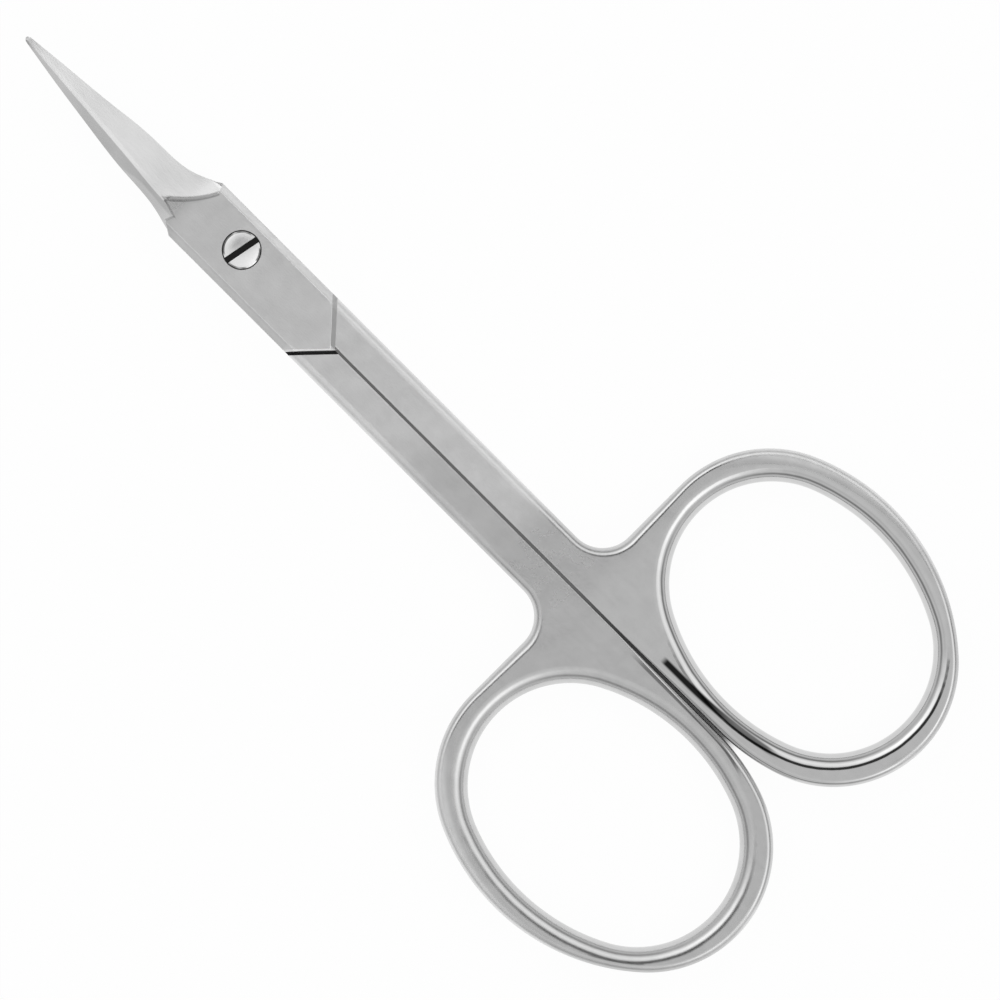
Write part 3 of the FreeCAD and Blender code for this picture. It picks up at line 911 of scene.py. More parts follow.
        floor = np.full_like(x, -self.spare)
        top = strip(edge, land, ridge, high, self.face_columns)
        back = strip(ridge, high, spine, low, self.columns)
        under = strip(edge, floor, spine, floor, 1)
        under[..., 2] = np.minimum(under[..., 2], top[:, :1, 2])
        for made in (top, back, under, np.stack([top[:, 0], under[:, 0]], axis=1),
                     np.stack([back[:, -1], under[:, -1]], axis=1)):
            shell.grid(made)
        shell.sew()
        shell.cap((-1, 0, 0), (self.root_reach, 0, 0))
        return shell

    def beyond_ride(self) -> bpy.types.Object:
        """All that lies beyond the riding face, up to the wall that stops the other half.

        The face is flat round the screw and then curves with the distance from its axis, so
        that the blades stay together all through the cut.

        Returns:
            A block to cut with.
        """
        lap, far = self.lap, self.lap.shank_edge * 2
        side = np.linspace(-far, far, self.ride_columns)
        ahead = np.arange(self.shoulder_reach / 2, self.tip_reach + far, self.ride_step)
        x = np.concatenate([lap.seat_back(side)[None, :],
                            np.repeat(np.r_[0.0, ahead][:, None], len(side), axis=1)])
        reach = np.hypot(x, side * self.turn.value - lap.pivot_offset) * (x > 0)
        height = lap.face + self.turn.value * self.rise(reach)
        face = np.stack([x, np.broadcast_to(side, x.shape), height], axis=2)
        rim = np.concatenate([face[:-1, 0], face[-1, :-1], face[:0:-1, -1], face[0, :0:-1]])
        deep = np.c_[rim[:, :2], np.full(len(rim), -self.tip_reach)]
        shell = Shell()
        shell.grid(face)
        shell.grid(np.stack([rim, deep], axis=1), closed=True)
        shell.sew()
        shell.cap((0, 0, -1), (0, 0, -self.tip_reach))
        return shell.finished("beyond_ride")


@dataclass(frozen=True)
class Screw:
    """The slotted screw: its domed head sunk into the front plate, its end flush behind."""

    lap: Lap
    radius: float = 1.0
    head_radius: float = 1.50
    head_depth: float = 0.90
    head_dome: float = 0.18
    head_gap: float = 0.05
    head_edge: float = 0.06
    end_edge: float = 0.08
    slot_width: float = 0.50
    slot_depth: float = 0.45
    slot_turn: float = math.radians(79)
    slot_edge: float = 0.03
    points: int = 128
    dome_steps: int = 14
    edge_steps: int = 4

    @property
    def top(self) -> float:
        """Height of the plate round the head."""
        return self.lap.mate + self.lap.top

    def build(self) -> bpy.types.Object:
        """Turn the screw's profile round its axis and saw the slot across its head.

        Returns:
            The screw, in the model's frame.
        """
        top = self.top
        seat = top - self.head_depth + self.head_gap
        curve = (self.head_radius**2 + self.head_dome**2) / (2 * self.head_dome)
        out = np.linspace(0, self.head_radius - self.head_edge, self.dome_steps)
        dome = top + self.head_dome - curve + np.sqrt(curve**2 - out**2)
        turn = np.linspace(0, math.pi / 2, self.edge_steps + 1)[1:]
        rounded = np.stack([self.head_radius - self.head_edge * (1 - np.sin(turn)),
                            dome[-1] - self.head_edge * (1 - np.cos(turn))], axis=1)
        profile = np.concatenate([
            np.stack([out, dome], axis=1), rounded,
            [[self.head_radius, seat], [self.radius, seat], [self.radius, self.end_edge],
             [self.radius - self.end_edge, 0.0], [0.0, 0.0]]])
        angle = np.linspace(0, 2 * math.pi, self.points, endpoint=False)[:, None]
        surface = np.stack([profile[:, 0] * np.cos(angle), profile[:, 0] * np.sin(angle),
                            np.broadcast_to(profile[:, 1], (self.points, len(profile)))], axis=2)
        shell = Shell()
        shell.grid(surface, closed=True)
        shell.sew()
        screw = shell.finished("pivot_screw_steel")

        reach, half = self.head_radius * 2, self.slot_width / 2
        floor = top + self.head_dome - self.slot_depth
        slot = [(-reach, -half), (reach, -half), (reach, half), (-reach, half)]
        saw = prism("saw", slot, floor, floor + reach)
        saw.data.transform(Matrix.Rotation(self.slot_turn, 4, "Z"))
        work(screw, saw, Joinery.CUT)
        screw.data.transform(Matrix.Scale(MM, 4))
        smooth(screw)
        return screw


@dataclass(frozen=True)
class Half:
    """One half of the scissors: its handle, plate and blade, fused as they are forged."""

    name: str
    turn: Turn
    lap: Lap
    screw: Screw

    def build(self) -> bpy.types.Object:
        """Make the half's steel as one closed shape.

        Returns:
            The half, in the model's frame.
        """
        plunge = Plunge(self.lap)
        steel = Handle(self.lap).build(self.name)
        plate = Plate(self.lap, self.turn, plunge, self.screw).build().finished("plate")
        blade = Blade(self.lap, self.turn, plunge)
        work(plate, blade.build().finished("blade"), Joinery.FUSE)
        work(steel, plate, Joinery.FUSE)
        work(steel, blade.beyond_ride(), Joinery.CUT)
        self.lap.place(steel, self.turn)
        smooth(steel)
        return steel


class Signal:
    """A number inside a material, on which Python's own sums add Math nodes."""

    def __init__(self, shader: Shader, socket: bpy.types.NodeSocket | None) -> None:
        """Wrap a socket of a shader's node."""
        self.shader = shader
        self.socket = socket

    def __add__(self, other: Any) -> Signal:
        """This plus another."""
        return self.shader.sum("ADD", self, other)

    __radd__ = __add__

    def __sub__(self, other: Any) -> Signal:
        """This less another."""
        return self.shader.sum("SUBTRACT", self, other)

    def __rsub__(self, other: Any) -> Signal:
        """Another less this."""
        return self.shader.sum("SUBTRACT", other, self)

    def __mul__(self, other: Any) -> Signal:
        """This times another."""
        return self.shader.sum("MULTIPLY", self, other)

    __rmul__ = __mul__

    def __truediv__(self, other: Any) -> Signal:
        """This over another."""
        return self.shader.sum("DIVIDE", self, other)

    def __pow__(self, power: float) -> Signal:
        """This to a power."""
        return self.shader.sum("POWER", self, power)

    def __abs__(self) -> Signal:
        """This without its sign."""
        return self.shader.sum("ABSOLUTE", self)

    def __lt__(self, other: Any) -> Signal:
        """1 where this is less than another, and 0 elsewhere."""
        return self.shader.sum("LESS_THAN", self, other)

    def __gt__(self, other: Any) -> Signal:
        """1 where this is greater than another, and 0 elsewhere."""
        return self.shader.sum("GREATER_THAN", self, other)

    def at_least(self, other: Any) -> Signal:
        """The greater of this and another."""
        return self.shader.sum("MAXIMUM", self, other)

    def at_most(self, other: Any) -> Signal:
        """The smaller of this and another."""
        return self.shader.sum("MINIMUM", self, other)

    def root(self) -> Signal:
        """The square root of this."""
        return self.shader.sum("SQRT", self)

    def hypot(self, other: Signal) -> Signal:
        """The root of this one's square plus another's."""
        return (self * self + other * other).root()

    def step(self, low: float, high: float) -> Signal:
        """A smooth rise.

        Args:
            low: Where it leaves 0.
            high: Where it reaches 1.

        Returns:
            The mask.
        """
        return self.shader.node("ShaderNodeMapRange",
                                {"Value": self, "From Min": low, "From Max": high},
                                interpolation_type="SMOOTHSTEP")

    def fall(self, low: float, high: float) -> Signal:
        """A smooth fall from 1 at low to 0 at high."""
        return 1 - self.step(low, high)

    def between(self, rise: Span, fall: Span) -> Signal:
        """1 between a smooth rise and a smooth fall."""
        return self.step(*rise) * self.fall(*fall)

    def near(self, full: float, gone: float) -> Signal:
        """1 close to zero, on both sides of it, and 0 from a distance on."""
        return abs(self).fall(full, gone)


@dataclass(frozen=True)
class Grain:
    """A noise: its cells in a millimetre, its finer layers, and its stretch along the tool."""

    per_mm: float
    detail: float
    along: float = 1.0


class Shader:
    """A node tree that is built by calls, one node each."""

    def __init__(self, tree: bpy.types.NodeTree) -> None:
        """Start the tree afresh."""
        self.tree = tree
        tree.nodes.clear()

    def node(self, kind: str, inputs: dict[str | int, Any] | None = None,
             output: str | int = 0, **settings: Any) -> Signal:
        """Add a node.

        Args:
            kind: The node's type.
            inputs: Values or signals for its sockets.
            output: The socket that the result is read from.
            **settings: Its own settings, which are set first. A ramp's stops are (place, gray).

        Returns:
            The signal of that socket. An output node has none, and gives an empty one.
        """
        made = self.tree.nodes.new(kind)
        for name, value in settings.items():
            if name == "stops":
                self.set_stops(made.color_ramp, value)
            else:
                setattr(made, name, value)
        for name, value in (inputs or {}).items():
            if isinstance(value, Signal):
                self.tree.links.new(value.socket, made.inputs[name])
            else:
                made.inputs[name].default_value = value
        return Signal(self, made.outputs[output] if len(made.outputs) else None)

    @staticmethod
    def set_stops(ramp: bpy.types.ColorRamp, stops: Sequence[tuple[float, float]]) -> None:
        """Give a ramp its stops.

        Args:
            ramp: The ramp.
            stops: The place and the gray of each.
        """
        while len(ramp.elements) < len(stops):
            ramp.elements.new(1.0)
        for element, (place, gray) in zip(ramp.elements, stops):
            element.position = place
            element.color = (gray, gray, gray, 1.0)

    def sum(self, operation: str, *values: Any) -> Signal:
        """Add a Math node on one or two values or signals."""
        return self.node("ShaderNodeMath", dict(enumerate(values)), operation=operation)

    def axes(self, vector: Signal) -> tuple[Signal, ...]:
        """The three parts of a vector."""
        return tuple(self.node("ShaderNodeSeparateXYZ", {0: vector}, axis) for axis in "XYZ")

    def millimetres(self) -> Signal:
        """The place on the object, in millimetres."""
        place = self.node("ShaderNodeTexCoord", output="Object")
        return self.node("ShaderNodeMapping", {"Vector": place, "Scale": (1 / MM,) * 3})

    def noise(self, place: Signal, grain: Grain) -> Signal:
        """Noise over a piece.

        Args:
            place: The place in millimetres.
            grain: The noise's sizes.

        Returns:
            The noise, which lies round 0.5.
        """
        scaled = self.node("ShaderNodeMapping", {"Vector": place, "Scale": (grain.along, 1.0, 1.0)})
        return self.node("ShaderNodeTexNoise", {"Vector": scaled, "Scale": grain.per_mm,
                                                "Detail": grain.detail})

    def gray(self, tone: Signal) -> Signal:
        """A colour with one tone for red, green and blue."""
        return self.node("ShaderNodeCombineColor", {"Red": tone, "Green": tone, "Blue": tone})

    def output(self, kind: str, surface: Signal) -> None:
        """Send a surface to the tree's output node."""
        self.node(kind, {"Surface": surface})


def new_material(name: str) -> tuple[bpy.types.Material, Shader]:
    """Make an empty material.

    Args:
        name: Its name.

    Returns:
        The material, and the shader that fills it.
    """
    material = bpy.data.materials.new(name)
    material.use_nodes = True
    return material, Shader(material.node_tree)


@dataclass(frozen=True)
class Spot:
    """A point of a half's steel, as signals: where it is and which finishes it has.

    Lengths are in millimetres. Aside is the distance from the parting line, and side is the
    same with its sign, towards the half's own bow. Over is 1 on the front half, which lies over
    the riding faces, and 0 on the rear one. Rear is 1 on the rear half's side of the parting
    line. Bare is 0 on the riding faces, which carry no marks. Depth is the height over the
    mating plane and reach the distance from the screw's axis. Bow, web, blade and plate are 1
    in those stretches of the tool. Mottle and wipe are noises.
    """

    x: Signal
    aside: Signal
    side: Signal
    over: Signal
    rear: Signal
    bare: Signal
    depth: Signal
    reach: Signal
    bow: Signal
    web: Signal
    blade: Signal
    plate: Signal
    mottle: Signal
    wipe: Signal


@dataclass(frozen=True)
class Stripe:
    """A painted reflection: a dark line along a bow's parting side, where the real bow mirrors a
    dark room.

    It stands at its inset from the parting line and, past its turn, bend (x - turn)^2 further
    out. Past its fade only a share of it is left.
    """

    inset: float
    turn: float
    bend: float
    half_width: float
    back: Span
    front: Span
    dark: float
    fade: Span = (0.0, 1.0)
    left: float = 1.0
    core: float = 0.4

    def mask(self, at: Spot) -> Signal:
        """How dark the line makes a point.

        Args:
            at: The point.

        Returns:
            The share of the tone that it takes.
        """
        past = (at.x - self.turn).at_most(0.0)
        off = at.aside - self.inset - past * past * self.bend
        line = off.near(self.half_width * self.core, self.half_width)
        fade = at.x.step(*self.fade) * (1 - self.left) + self.left
        return line * at.x.between(self.back, self.front) * fade * self.dark


@dataclass(frozen=True)
class SteelFinish:
    """Stainless steel: satin shanks and plates, a ground blade, and polished finger bows, with
    painted light and shade.
    """

    handle: Handle
    blade: Blade
    name: str = "half_steel"
    # where along the tool each finish starts
    bow_from: Span = (-41.5, -36.5)
    web_from: Span = (-33.5, -28.5)
    ground_from: Span = (4.5, 6.5)
    tip_from: Span = (15.0, 21.0)
    plate_fade: float = 0.3
    # the tones
    gray: float = 0.82
    web_gray: float = 0.63
    bow_gray: float = 0.63
    blade_gray: float = 0.66
    tip_gray: float = 0.78
    mottle_tone: float = 0.10
    wipe_tone: float = 0.05
    # the roughnesses
    satin: float = 0.33
    ground: float = 0.26
    web_satin: float = 0.27
    front_polish: float = 0.07
    rear_polish: float = 0.22
    outer_polish: float = 0.42
    edge_blur: float = 0.18
    mottle_rough: float = 0.06
    # the noises, and how high four of them stand
    grain: Grain = Grain(9.0, 3.0, 0.35)
    wipe: Grain = Grain(2.2, 3.0, 0.12)
    mottle: Grain = Grain(0.9, 4.0)
    wave: Grain = Grain(0.30, 1.0)
    ripple: Grain = Grain(1.1, 1.0)
    grain_lift: float = 0.006
    wipe_lift: float = 0.004
    wave_lift: float = 0.05
    ripple_lift: float = 0.008
    # the bows' outsides, by the square of the distance from the hole's centre in half holes, and
    # the painted highlight on their rims
    outside_from: Span = (1.34, 1.42)
    rim_from: Span = (1.42, 1.52)
    flank_to: Span = (-45.0, -41.0)
    flank_far: Span = (14.0, 16.0)
    flank_near: Span = (6.0, 10.0)
    rim_highlight: float = 0.26
    # the long edges of plates and shanks, by the distance inside them, and the painted highlight
    # along them
    edge_highlight_inset: Span = (0.58, 0.38)
    edge_rounded: Span = (0.83, 0.68)
    edge_light: float = 0.09
    front_edge_light: float = 0.06
    shank_share: float = 0.2
    # the rear shank's darker end
    shade: float = 0.18
    shade_from: Span = (-34.0, -29.0)
    shade_to: Span = (-25.0, -17.0)
    # painted shade in the corner of the seat
    crevice_shade: float = 0.04
    crevice_shade_reach: Span = (0.38, 0.46)
    crevice_shade_depth: Span = (0.25, 0.55)
    # marks, the riding faces that stay clear of them, and their soft ends
    face_fade: float = 0.01
    bare_from: Span = (0.08, 0.16)
    soft: float = 0.2
    crisp: float = 0.03
    # painted shade along the plunge cut's line and along the small steps beside its tongue
    cut_from: Span = (4.2, 4.4)
    cut_to: Span = (7.4, 7.8)
    line_dark: float = 0.44
    line_off: float = 0.033
    line_width: Span = (0.11, 0.22)
    step_shade_dark: float = 0.30
    step_shade_width: float = 0.13
    step_shade_soft: float = 0.1
    # painted light on the spine's bevel, painted shade under the ridge and a painted highlight on
    # its crest
    spine_light: float = 0.14
    spine_from: Span = (5.7, 6.0)
    spine_edge: Span = (0.0, 0.06)
    ridge_shade: float = 0.05
    ridge_width: float = 0.42
    ridge_spread: float = 3.0
    ridge_spread_from: Span = (9.0, 14.0)
    ridge_fade: Span = (0.75, 1.15)
    crest_highlight: float = 0.08
    crest_rise: Span = (-0.45, -0.25)
    crest_fall: Span = (-0.10, 0.0)
    crest_from: Span = (8.0, 11.0)
    # painted shade and a painted highlight at the plate's two ends
    slope_shade: float = 0.34
    slope_to: Span = (0.36, 0.42)
    slope_side: Span = (-0.1, 0.0)
    free_end_highlight: float = 0.22
    gap_to: Span = (0.13, 0.18)
    gap_side: Span = (-0.2, 0.0)
    # painted shade in the recess round the screw's head
    ring_dark: float = 0.72
    ring_edge: Span = (1.56, 1.61)
    ring_depth: Span = (0.2, 0.4)
    # the painted reflections, dark stripes
    front_stripe: Stripe = Stripe(
        inset=0.98, turn=-49.0, bend=0.0116, half_width=0.36, back=(-58.5, -57.0),
        front=(-46.8, -46.2), dark=0.97, fade=(-54.5, -51.0), left=0.82)
    rear_stripe: Stripe = Stripe(
        inset=0.48, turn=-53.0, bend=0.04, half_width=0.18, back=(-57.5, -56.0),
        front=(-46.2, -43.8), dark=0.62)

    @property
    def lap(self) -> Lap:
        """The joint's sizes."""
        return self.handle.lap

    def build(self) -> bpy.types.Material:
        """Make the material, worked out in millimetres from Object coordinates.

        Returns:
            The material.
        """
        material, shader = new_material(self.name)
        place = shader.millimetres()
        at = self.locate(shader, place)
        grain, wave, ripple = (shader.noise(place, kind)
                               for kind in (self.grain, self.wave, self.ripple))
        fine = (1 - at.bow) * self.grain_lift * grain + (1 - at.web) * self.wipe_lift * at.wipe
        lift = fine + wave * self.wave_lift + at.bow * ripple * self.ripple_lift
        bump = shader.node("ShaderNodeBump", {"Height": lift, "Distance": MM, "Strength": 1.0},
                           "Normal")
        steel = shader.node("ShaderNodeBsdfPrincipled", {
            "Base Color": shader.gray(self.tone(at)), "Metallic": 1.0,
            "Roughness": self.roughness(at), "Normal": bump})
        shader.output("ShaderNodeOutputMaterial", steel)
        return material

    def locate(self, shader: Shader, place: Signal) -> Spot:
        """Work out where a point lies and which finishes it has.

        The riding faces curve up by R - sqrt(R^2 - past^2), here by the first two terms of
        its series in past^2.

        Args:
            shader: The material's shader.
            place: The point in the model, in millimetres.

        Returns:
            The point.
        """
        x, y, z = shader.axes(place)
        own, depth = y - self.lap.pivot_offset, z - self.lap.mate
        past = (x - self.blade.curve_start).at_least(0.0)
        risen, radius = past * past, self.blade.curve_radius
        risen = risen * (risen / (8 * radius**3) + 1 / (2 * radius))
        height = depth - risen
        over = height.step(-self.face_fade, self.face_fade)
        return Spot(
            x=x, aside=abs(own), side=own * (1 - over * 2), over=over,
            rear=own.step(-self.lap.parting, self.lap.parting),
            bare=abs(height).step(*self.bare_from), depth=depth, reach=x.hypot(y),
            bow=x.fall(*self.bow_from), web=x.fall(*self.web_from),
            blade=x.step(*self.ground_from),
            plate=x.step(-self.lap.step_edge, self.plate_fade - self.lap.step_edge),
            mottle=shader.noise(place, self.mottle), wipe=shader.noise(place, self.wipe))

    def tone(self, at: Spot) -> Signal:
        """The steel's tone: the finishes' grays, mottled, under every mark of painted light and
        shade.

        Args:
            at: The point.

        Returns:
            The tone.
        """
        tone = self.gray + at.web * (self.web_gray - self.gray)
        tone = tone + at.bow * (self.bow_gray - self.web_gray)
        tone = tone + at.blade * (self.blade_gray - self.gray)
        tone = tone + at.x.step(*self.tip_from) * (self.tip_gray - self.blade_gray)
        tone = tone + (at.mottle - 0.5) * self.mottle_tone + (at.wipe - 0.5) * self.wipe_tone
        # every mark below is painted shade, a painted highlight or a painted reflection
        for mark in (self.corner_shade, self.plunge_shade, self.tongue_step_shade, self.spine_bevel,
                     self.plate_ends, self.stripes, self.recess_shade, self.edge_highlight, self.shaded_end):
            tone = tone * mark(at)
        # painted highlight on the bows' outer rims
        return tone * (1 + self.outside(at, self.rim_from) * self.rim_highlight)

    def roughness(self, at: Spot) -> Signal:
        """The steel's roughness: each finish's own, and duller edges.

        Args:
            at: The point.

        Returns:
            The roughness.
        """
        polish = at.rear * (self.rear_polish - self.front_polish) + self.front_polish
        rough = self.satin + at.blade * (self.ground - self.satin)
        rough = rough + at.web * (self.web_satin - self.satin)
        rough = rough + at.bow * (polish - self.web_satin) + (at.mottle - 0.5) * self.mottle_rough
        rough = rough + self.outside(at, self.outside_from) * (self.outer_polish - polish)
        return rough + self.edge(at, self.edge_rounded) * (1 - at.plate) * self.edge_blur

    def outside(self, at: Spot, start: Span) -> Signal:
        """1 on the bows' outsides, which are less polished than the rims of their holes.

        The web's flat reaches into the oval round a hole, and the parting side is polished
        too, so both are left out.

        Args:
            at: The point.
            start: Where the outside starts, by its distance's square.

        Returns:
            The mask.
        """
        hole = self.handle
        across = (at.aside - hole.hole_side) / hole.hole_half_width
        along = (at.x + hole.bow_back) / hole.hole_half_length
        flank = at.x.fall(*self.flank_to).at_least(at.aside.step(*self.flank_far))
        away = (across * across + along * along).step(*start)
        return away * flank * at.bow * at.aside.step(*self.flank_near)

    def edge(self, at: Spot, inside: Span) -> Signal:
        """1 along the long edges of plate and shank.

        Args:
            at: The point.
            inside: How far inside the edge the mask starts and is full.

        Returns:
            The mask.
        """
        start, full = (self.lap.shank_edge - distance for distance in inside)
        return at.aside.step(start, full) * (1 - at.web)

    def edge_highlight(self, at: Spot) -> Signal:
        """The painted highlight along the long edges, most of it on the plates.

        Args:
            at: The point.

        Returns:
            What the tone is multiplied by, as for every mark.
        """
        light = (1 - at.rear) * self.front_edge_light + self.edge_light
        share = at.plate * (1 - self.shank_share) + self.shank_share
        return 1 + self.edge(at, self.edge_highlight_inset) * light * share

    def shaded_end(self, at: Spot) -> Signal:
        """The darker end of the rear shank."""
        return 1 - at.rear * at.x.between(self.shade_from, self.shade_to) * self.shade

    def corner_shade(self, at: Spot) -> Signal:
        """Painted shade in the corner that the other half's plate stops against.

        The seat's wall stands at -x = free edge + seat gap + slope (shank edge - side).

        Args:
            at: The point.

        Returns:
            What the tone is multiplied by.
        """
        lap = self.lap
        slope = (lap.free_middle - lap.free_edge) / lap.shank_edge
        wall = at.x + (lap.free_edge + lap.seat_gap + slope * lap.shank_edge) - at.aside * slope
        shade_mask = wall.near(*self.crevice_shade_reach) * at.depth.near(*self.crevice_shade_depth)
        return 1 - shade_mask * (1 - self.crevice_shade)

    def plunge_shade(self, at: Spot) -> Signal:
        """A painted reflection: the dark line along the wheel's arc at the front of the plate,
        where its steep wall mirrors the dark horizon.

        Args:
            at: The point.

        Returns:
            What the tone is multiplied by.
        """
        cut = self.blade.plunge
        away = cut.radius - (at.x - cut.centre[0]).hypot(at.side - cut.centre[1])
        near = (away - self.line_off).near(*self.line_width)
        along = at.side.between((-cut.tongue_side - self.soft, -cut.tongue_side + self.soft),
                                (cut.side, cut.side + self.soft))
        stretch = at.x.between(self.cut_from, self.cut_to)
        return 1 - near * along * stretch * at.bare * self.line_dark

    def tongue_step_shade(self, at: Spot) -> Signal:
        """Painted shade along the small steps from the tongue to the notch and from there to the
        corner.

        Args:
            at: The point.

        Returns:
            What the tone is multiplied by.
        """
        cut, kept = self.blade.plunge, 1.0
        tongue, notch, corner = ((cut.tongue_reach, -cut.tongue_side),
                                 (cut.notch_reach, -cut.notch_side),
                                 (cut.corner_reach, -cut.corner_side))
        for start, end in ((tongue, notch), (notch, corner)):
            run, rise = end[0] - start[0], end[1] - start[1]
            length = math.hypot(run, rise)
            off = (at.x - start[0]) * (rise / length) - (at.side - start[1]) * (run / length)
            on = at.side.between((end[1] - self.step_shade_soft / 2, end[1] + self.step_shade_soft / 2),
                                 (start[1], start[1] + self.step_shade_soft))
            near = off.near(self.step_shade_width / 3, self.step_shade_width)
            kept = kept * (1 - near * on * at.x.step(*self.cut_from) * self.step_shade_dark * at.bare)
        return kept

    def spine_bevel(self, at: Spot) -> Signal:
        """Painted light on the spine's bevel, painted shade under its ridge, and a painted
        highlight along the ridge's crest.

        Args:
            at: The point.

        Returns:
            What the tone is multiplied by.
        """
        blade = self.blade
        run = blade.tip_reach - blade.neck_reach
        slope = (blade.neck_ridge_side - blade.tip_width / 4) / run
        lean = (at.over * 2 - 1) * (blade.tip_lean / run)
        below = (at.x - blade.neck_reach) * (lean + slope) - blade.neck_ridge_side - at.side
        wide = (1 + at.x.step(*self.ridge_spread_from) * self.ridge_spread) * self.ridge_width
        spine = below.step(*self.spine_edge) * at.x.step(*self.spine_from) * at.bare
        dark = (below / wide).fall(*self.ridge_fade) * (self.spine_light + self.ridge_shade)
        crest = below.between(self.crest_rise, self.crest_fall) * at.x.step(*self.crest_from)
        return (1 + spine * (self.spine_light - dark)) * (1 + crest * at.bare * self.crest_highlight)

    def plate_ends(self, at: Spot) -> Signal:
        """Painted shade on the slope from the plate to its shank, and a painted highlight on the
        edge of its free end.

        Args:
            at: The point.

        Returns:
            What the tone is multiplied by.
        """
        lap, start = self.lap, (-self.crisp, self.crisp)
        lean = (lap.step_middle - lap.step_edge) / lap.shank_edge
        behind = (at.x + lap.step_middle - at.side * lean) / math.hypot(1, lean)
        slope = behind.between(start, self.slope_to) * at.side.step(*self.slope_side)
        lean = (lap.free_middle - lap.free_edge) / lap.shank_edge
        behind = (at.x + lap.free_middle + at.side * lean) / math.hypot(1, lean)
        free = behind.between(start, self.gap_to) * at.side.fall(*self.gap_side)
        return (1 - slope * self.slope_shade) * (1 + free * self.free_end_highlight)

    def stripes(self, at: Spot) -> Signal:
        """The painted reflections, dark stripes on the bows' parting sides, on the steel over the
        riding faces.
        """
        front, rear = self.front_stripe.mask(at), self.rear_stripe.mask(at)
        return 1 - (front * (1 - at.rear) + rear * at.rear) * at.over

    def recess_shade(self, at: Spot) -> Signal:
        """Painted shade on the wall and floor of the recess round the screw's head."""
        return 1 - at.reach.fall(*self.ring_edge) * at.depth.step(*self.ring_depth) * self.ring_dark


@dataclass(frozen=True)
class ScrewFinish:
    """The screw's brighter, turned steel, with painted shade in the slot and in patches round the
    head's edge.
    """

    screw: Screw
    name: str = "screw_steel"
    gray: float = 1.0
    blotch: Grain = Grain(1.2, 2.0)
    blotch_tone: float = 0.24
    blotch_rough: float = 0.1
    roughness: float = 0.34
    # painted shade in the slot and in patches round the head's edge
    slot_shade_gray: float = 0.03
    slot_depth: float = 0.10
    rim_shade_gray: float = 0.20
    rim: float = 0.14
    rim_shade_grain: Grain = Grain(0.8, 1.0)
    rim_shade_spread: Span = (0.40, 0.56)
    blur: float = 0.04

    def build(self) -> bpy.types.Material:
        """Make the material.

        Returns:
            The material.
        """
        screw = self.screw
        material, shader = new_material(self.name)
        place = shader.millimetres()
        x, y, z = shader.axes(place)
        blotch = shader.noise(place, self.blotch) - 0.5
        across = y * math.cos(screw.slot_turn) - x * math.sin(screw.slot_turn)
        half = screw.slot_width / 2
        # painted shade in the slot
        below = (z - screw.top).fall(-self.slot_depth, -screw.slot_edge)
        slot = below * across.near(half, half + self.blur)
        # painted shade in patches round the head's edge
        edge = screw.head_radius - self.rim
        rim = x.hypot(y).step(edge - self.blur, edge + self.blur)
        crevice_shade = rim * shader.noise(place, self.rim_shade_grain).step(*self.rim_shade_spread)
        tone = self.gray + blotch * self.blotch_tone + crevice_shade * (self.rim_shade_gray - self.gray)
        tone = tone + slot * (self.slot_shade_gray - tone)
        steel = shader.node("ShaderNodeBsdfPrincipled", {
            "Base Color": shader.gray(tone), "Metallic": 1.0,
            "Roughness": self.roughness + blotch * self.blotch_rough})
        shader.output("ShaderNodeOutputMaterial", steel)
        return material


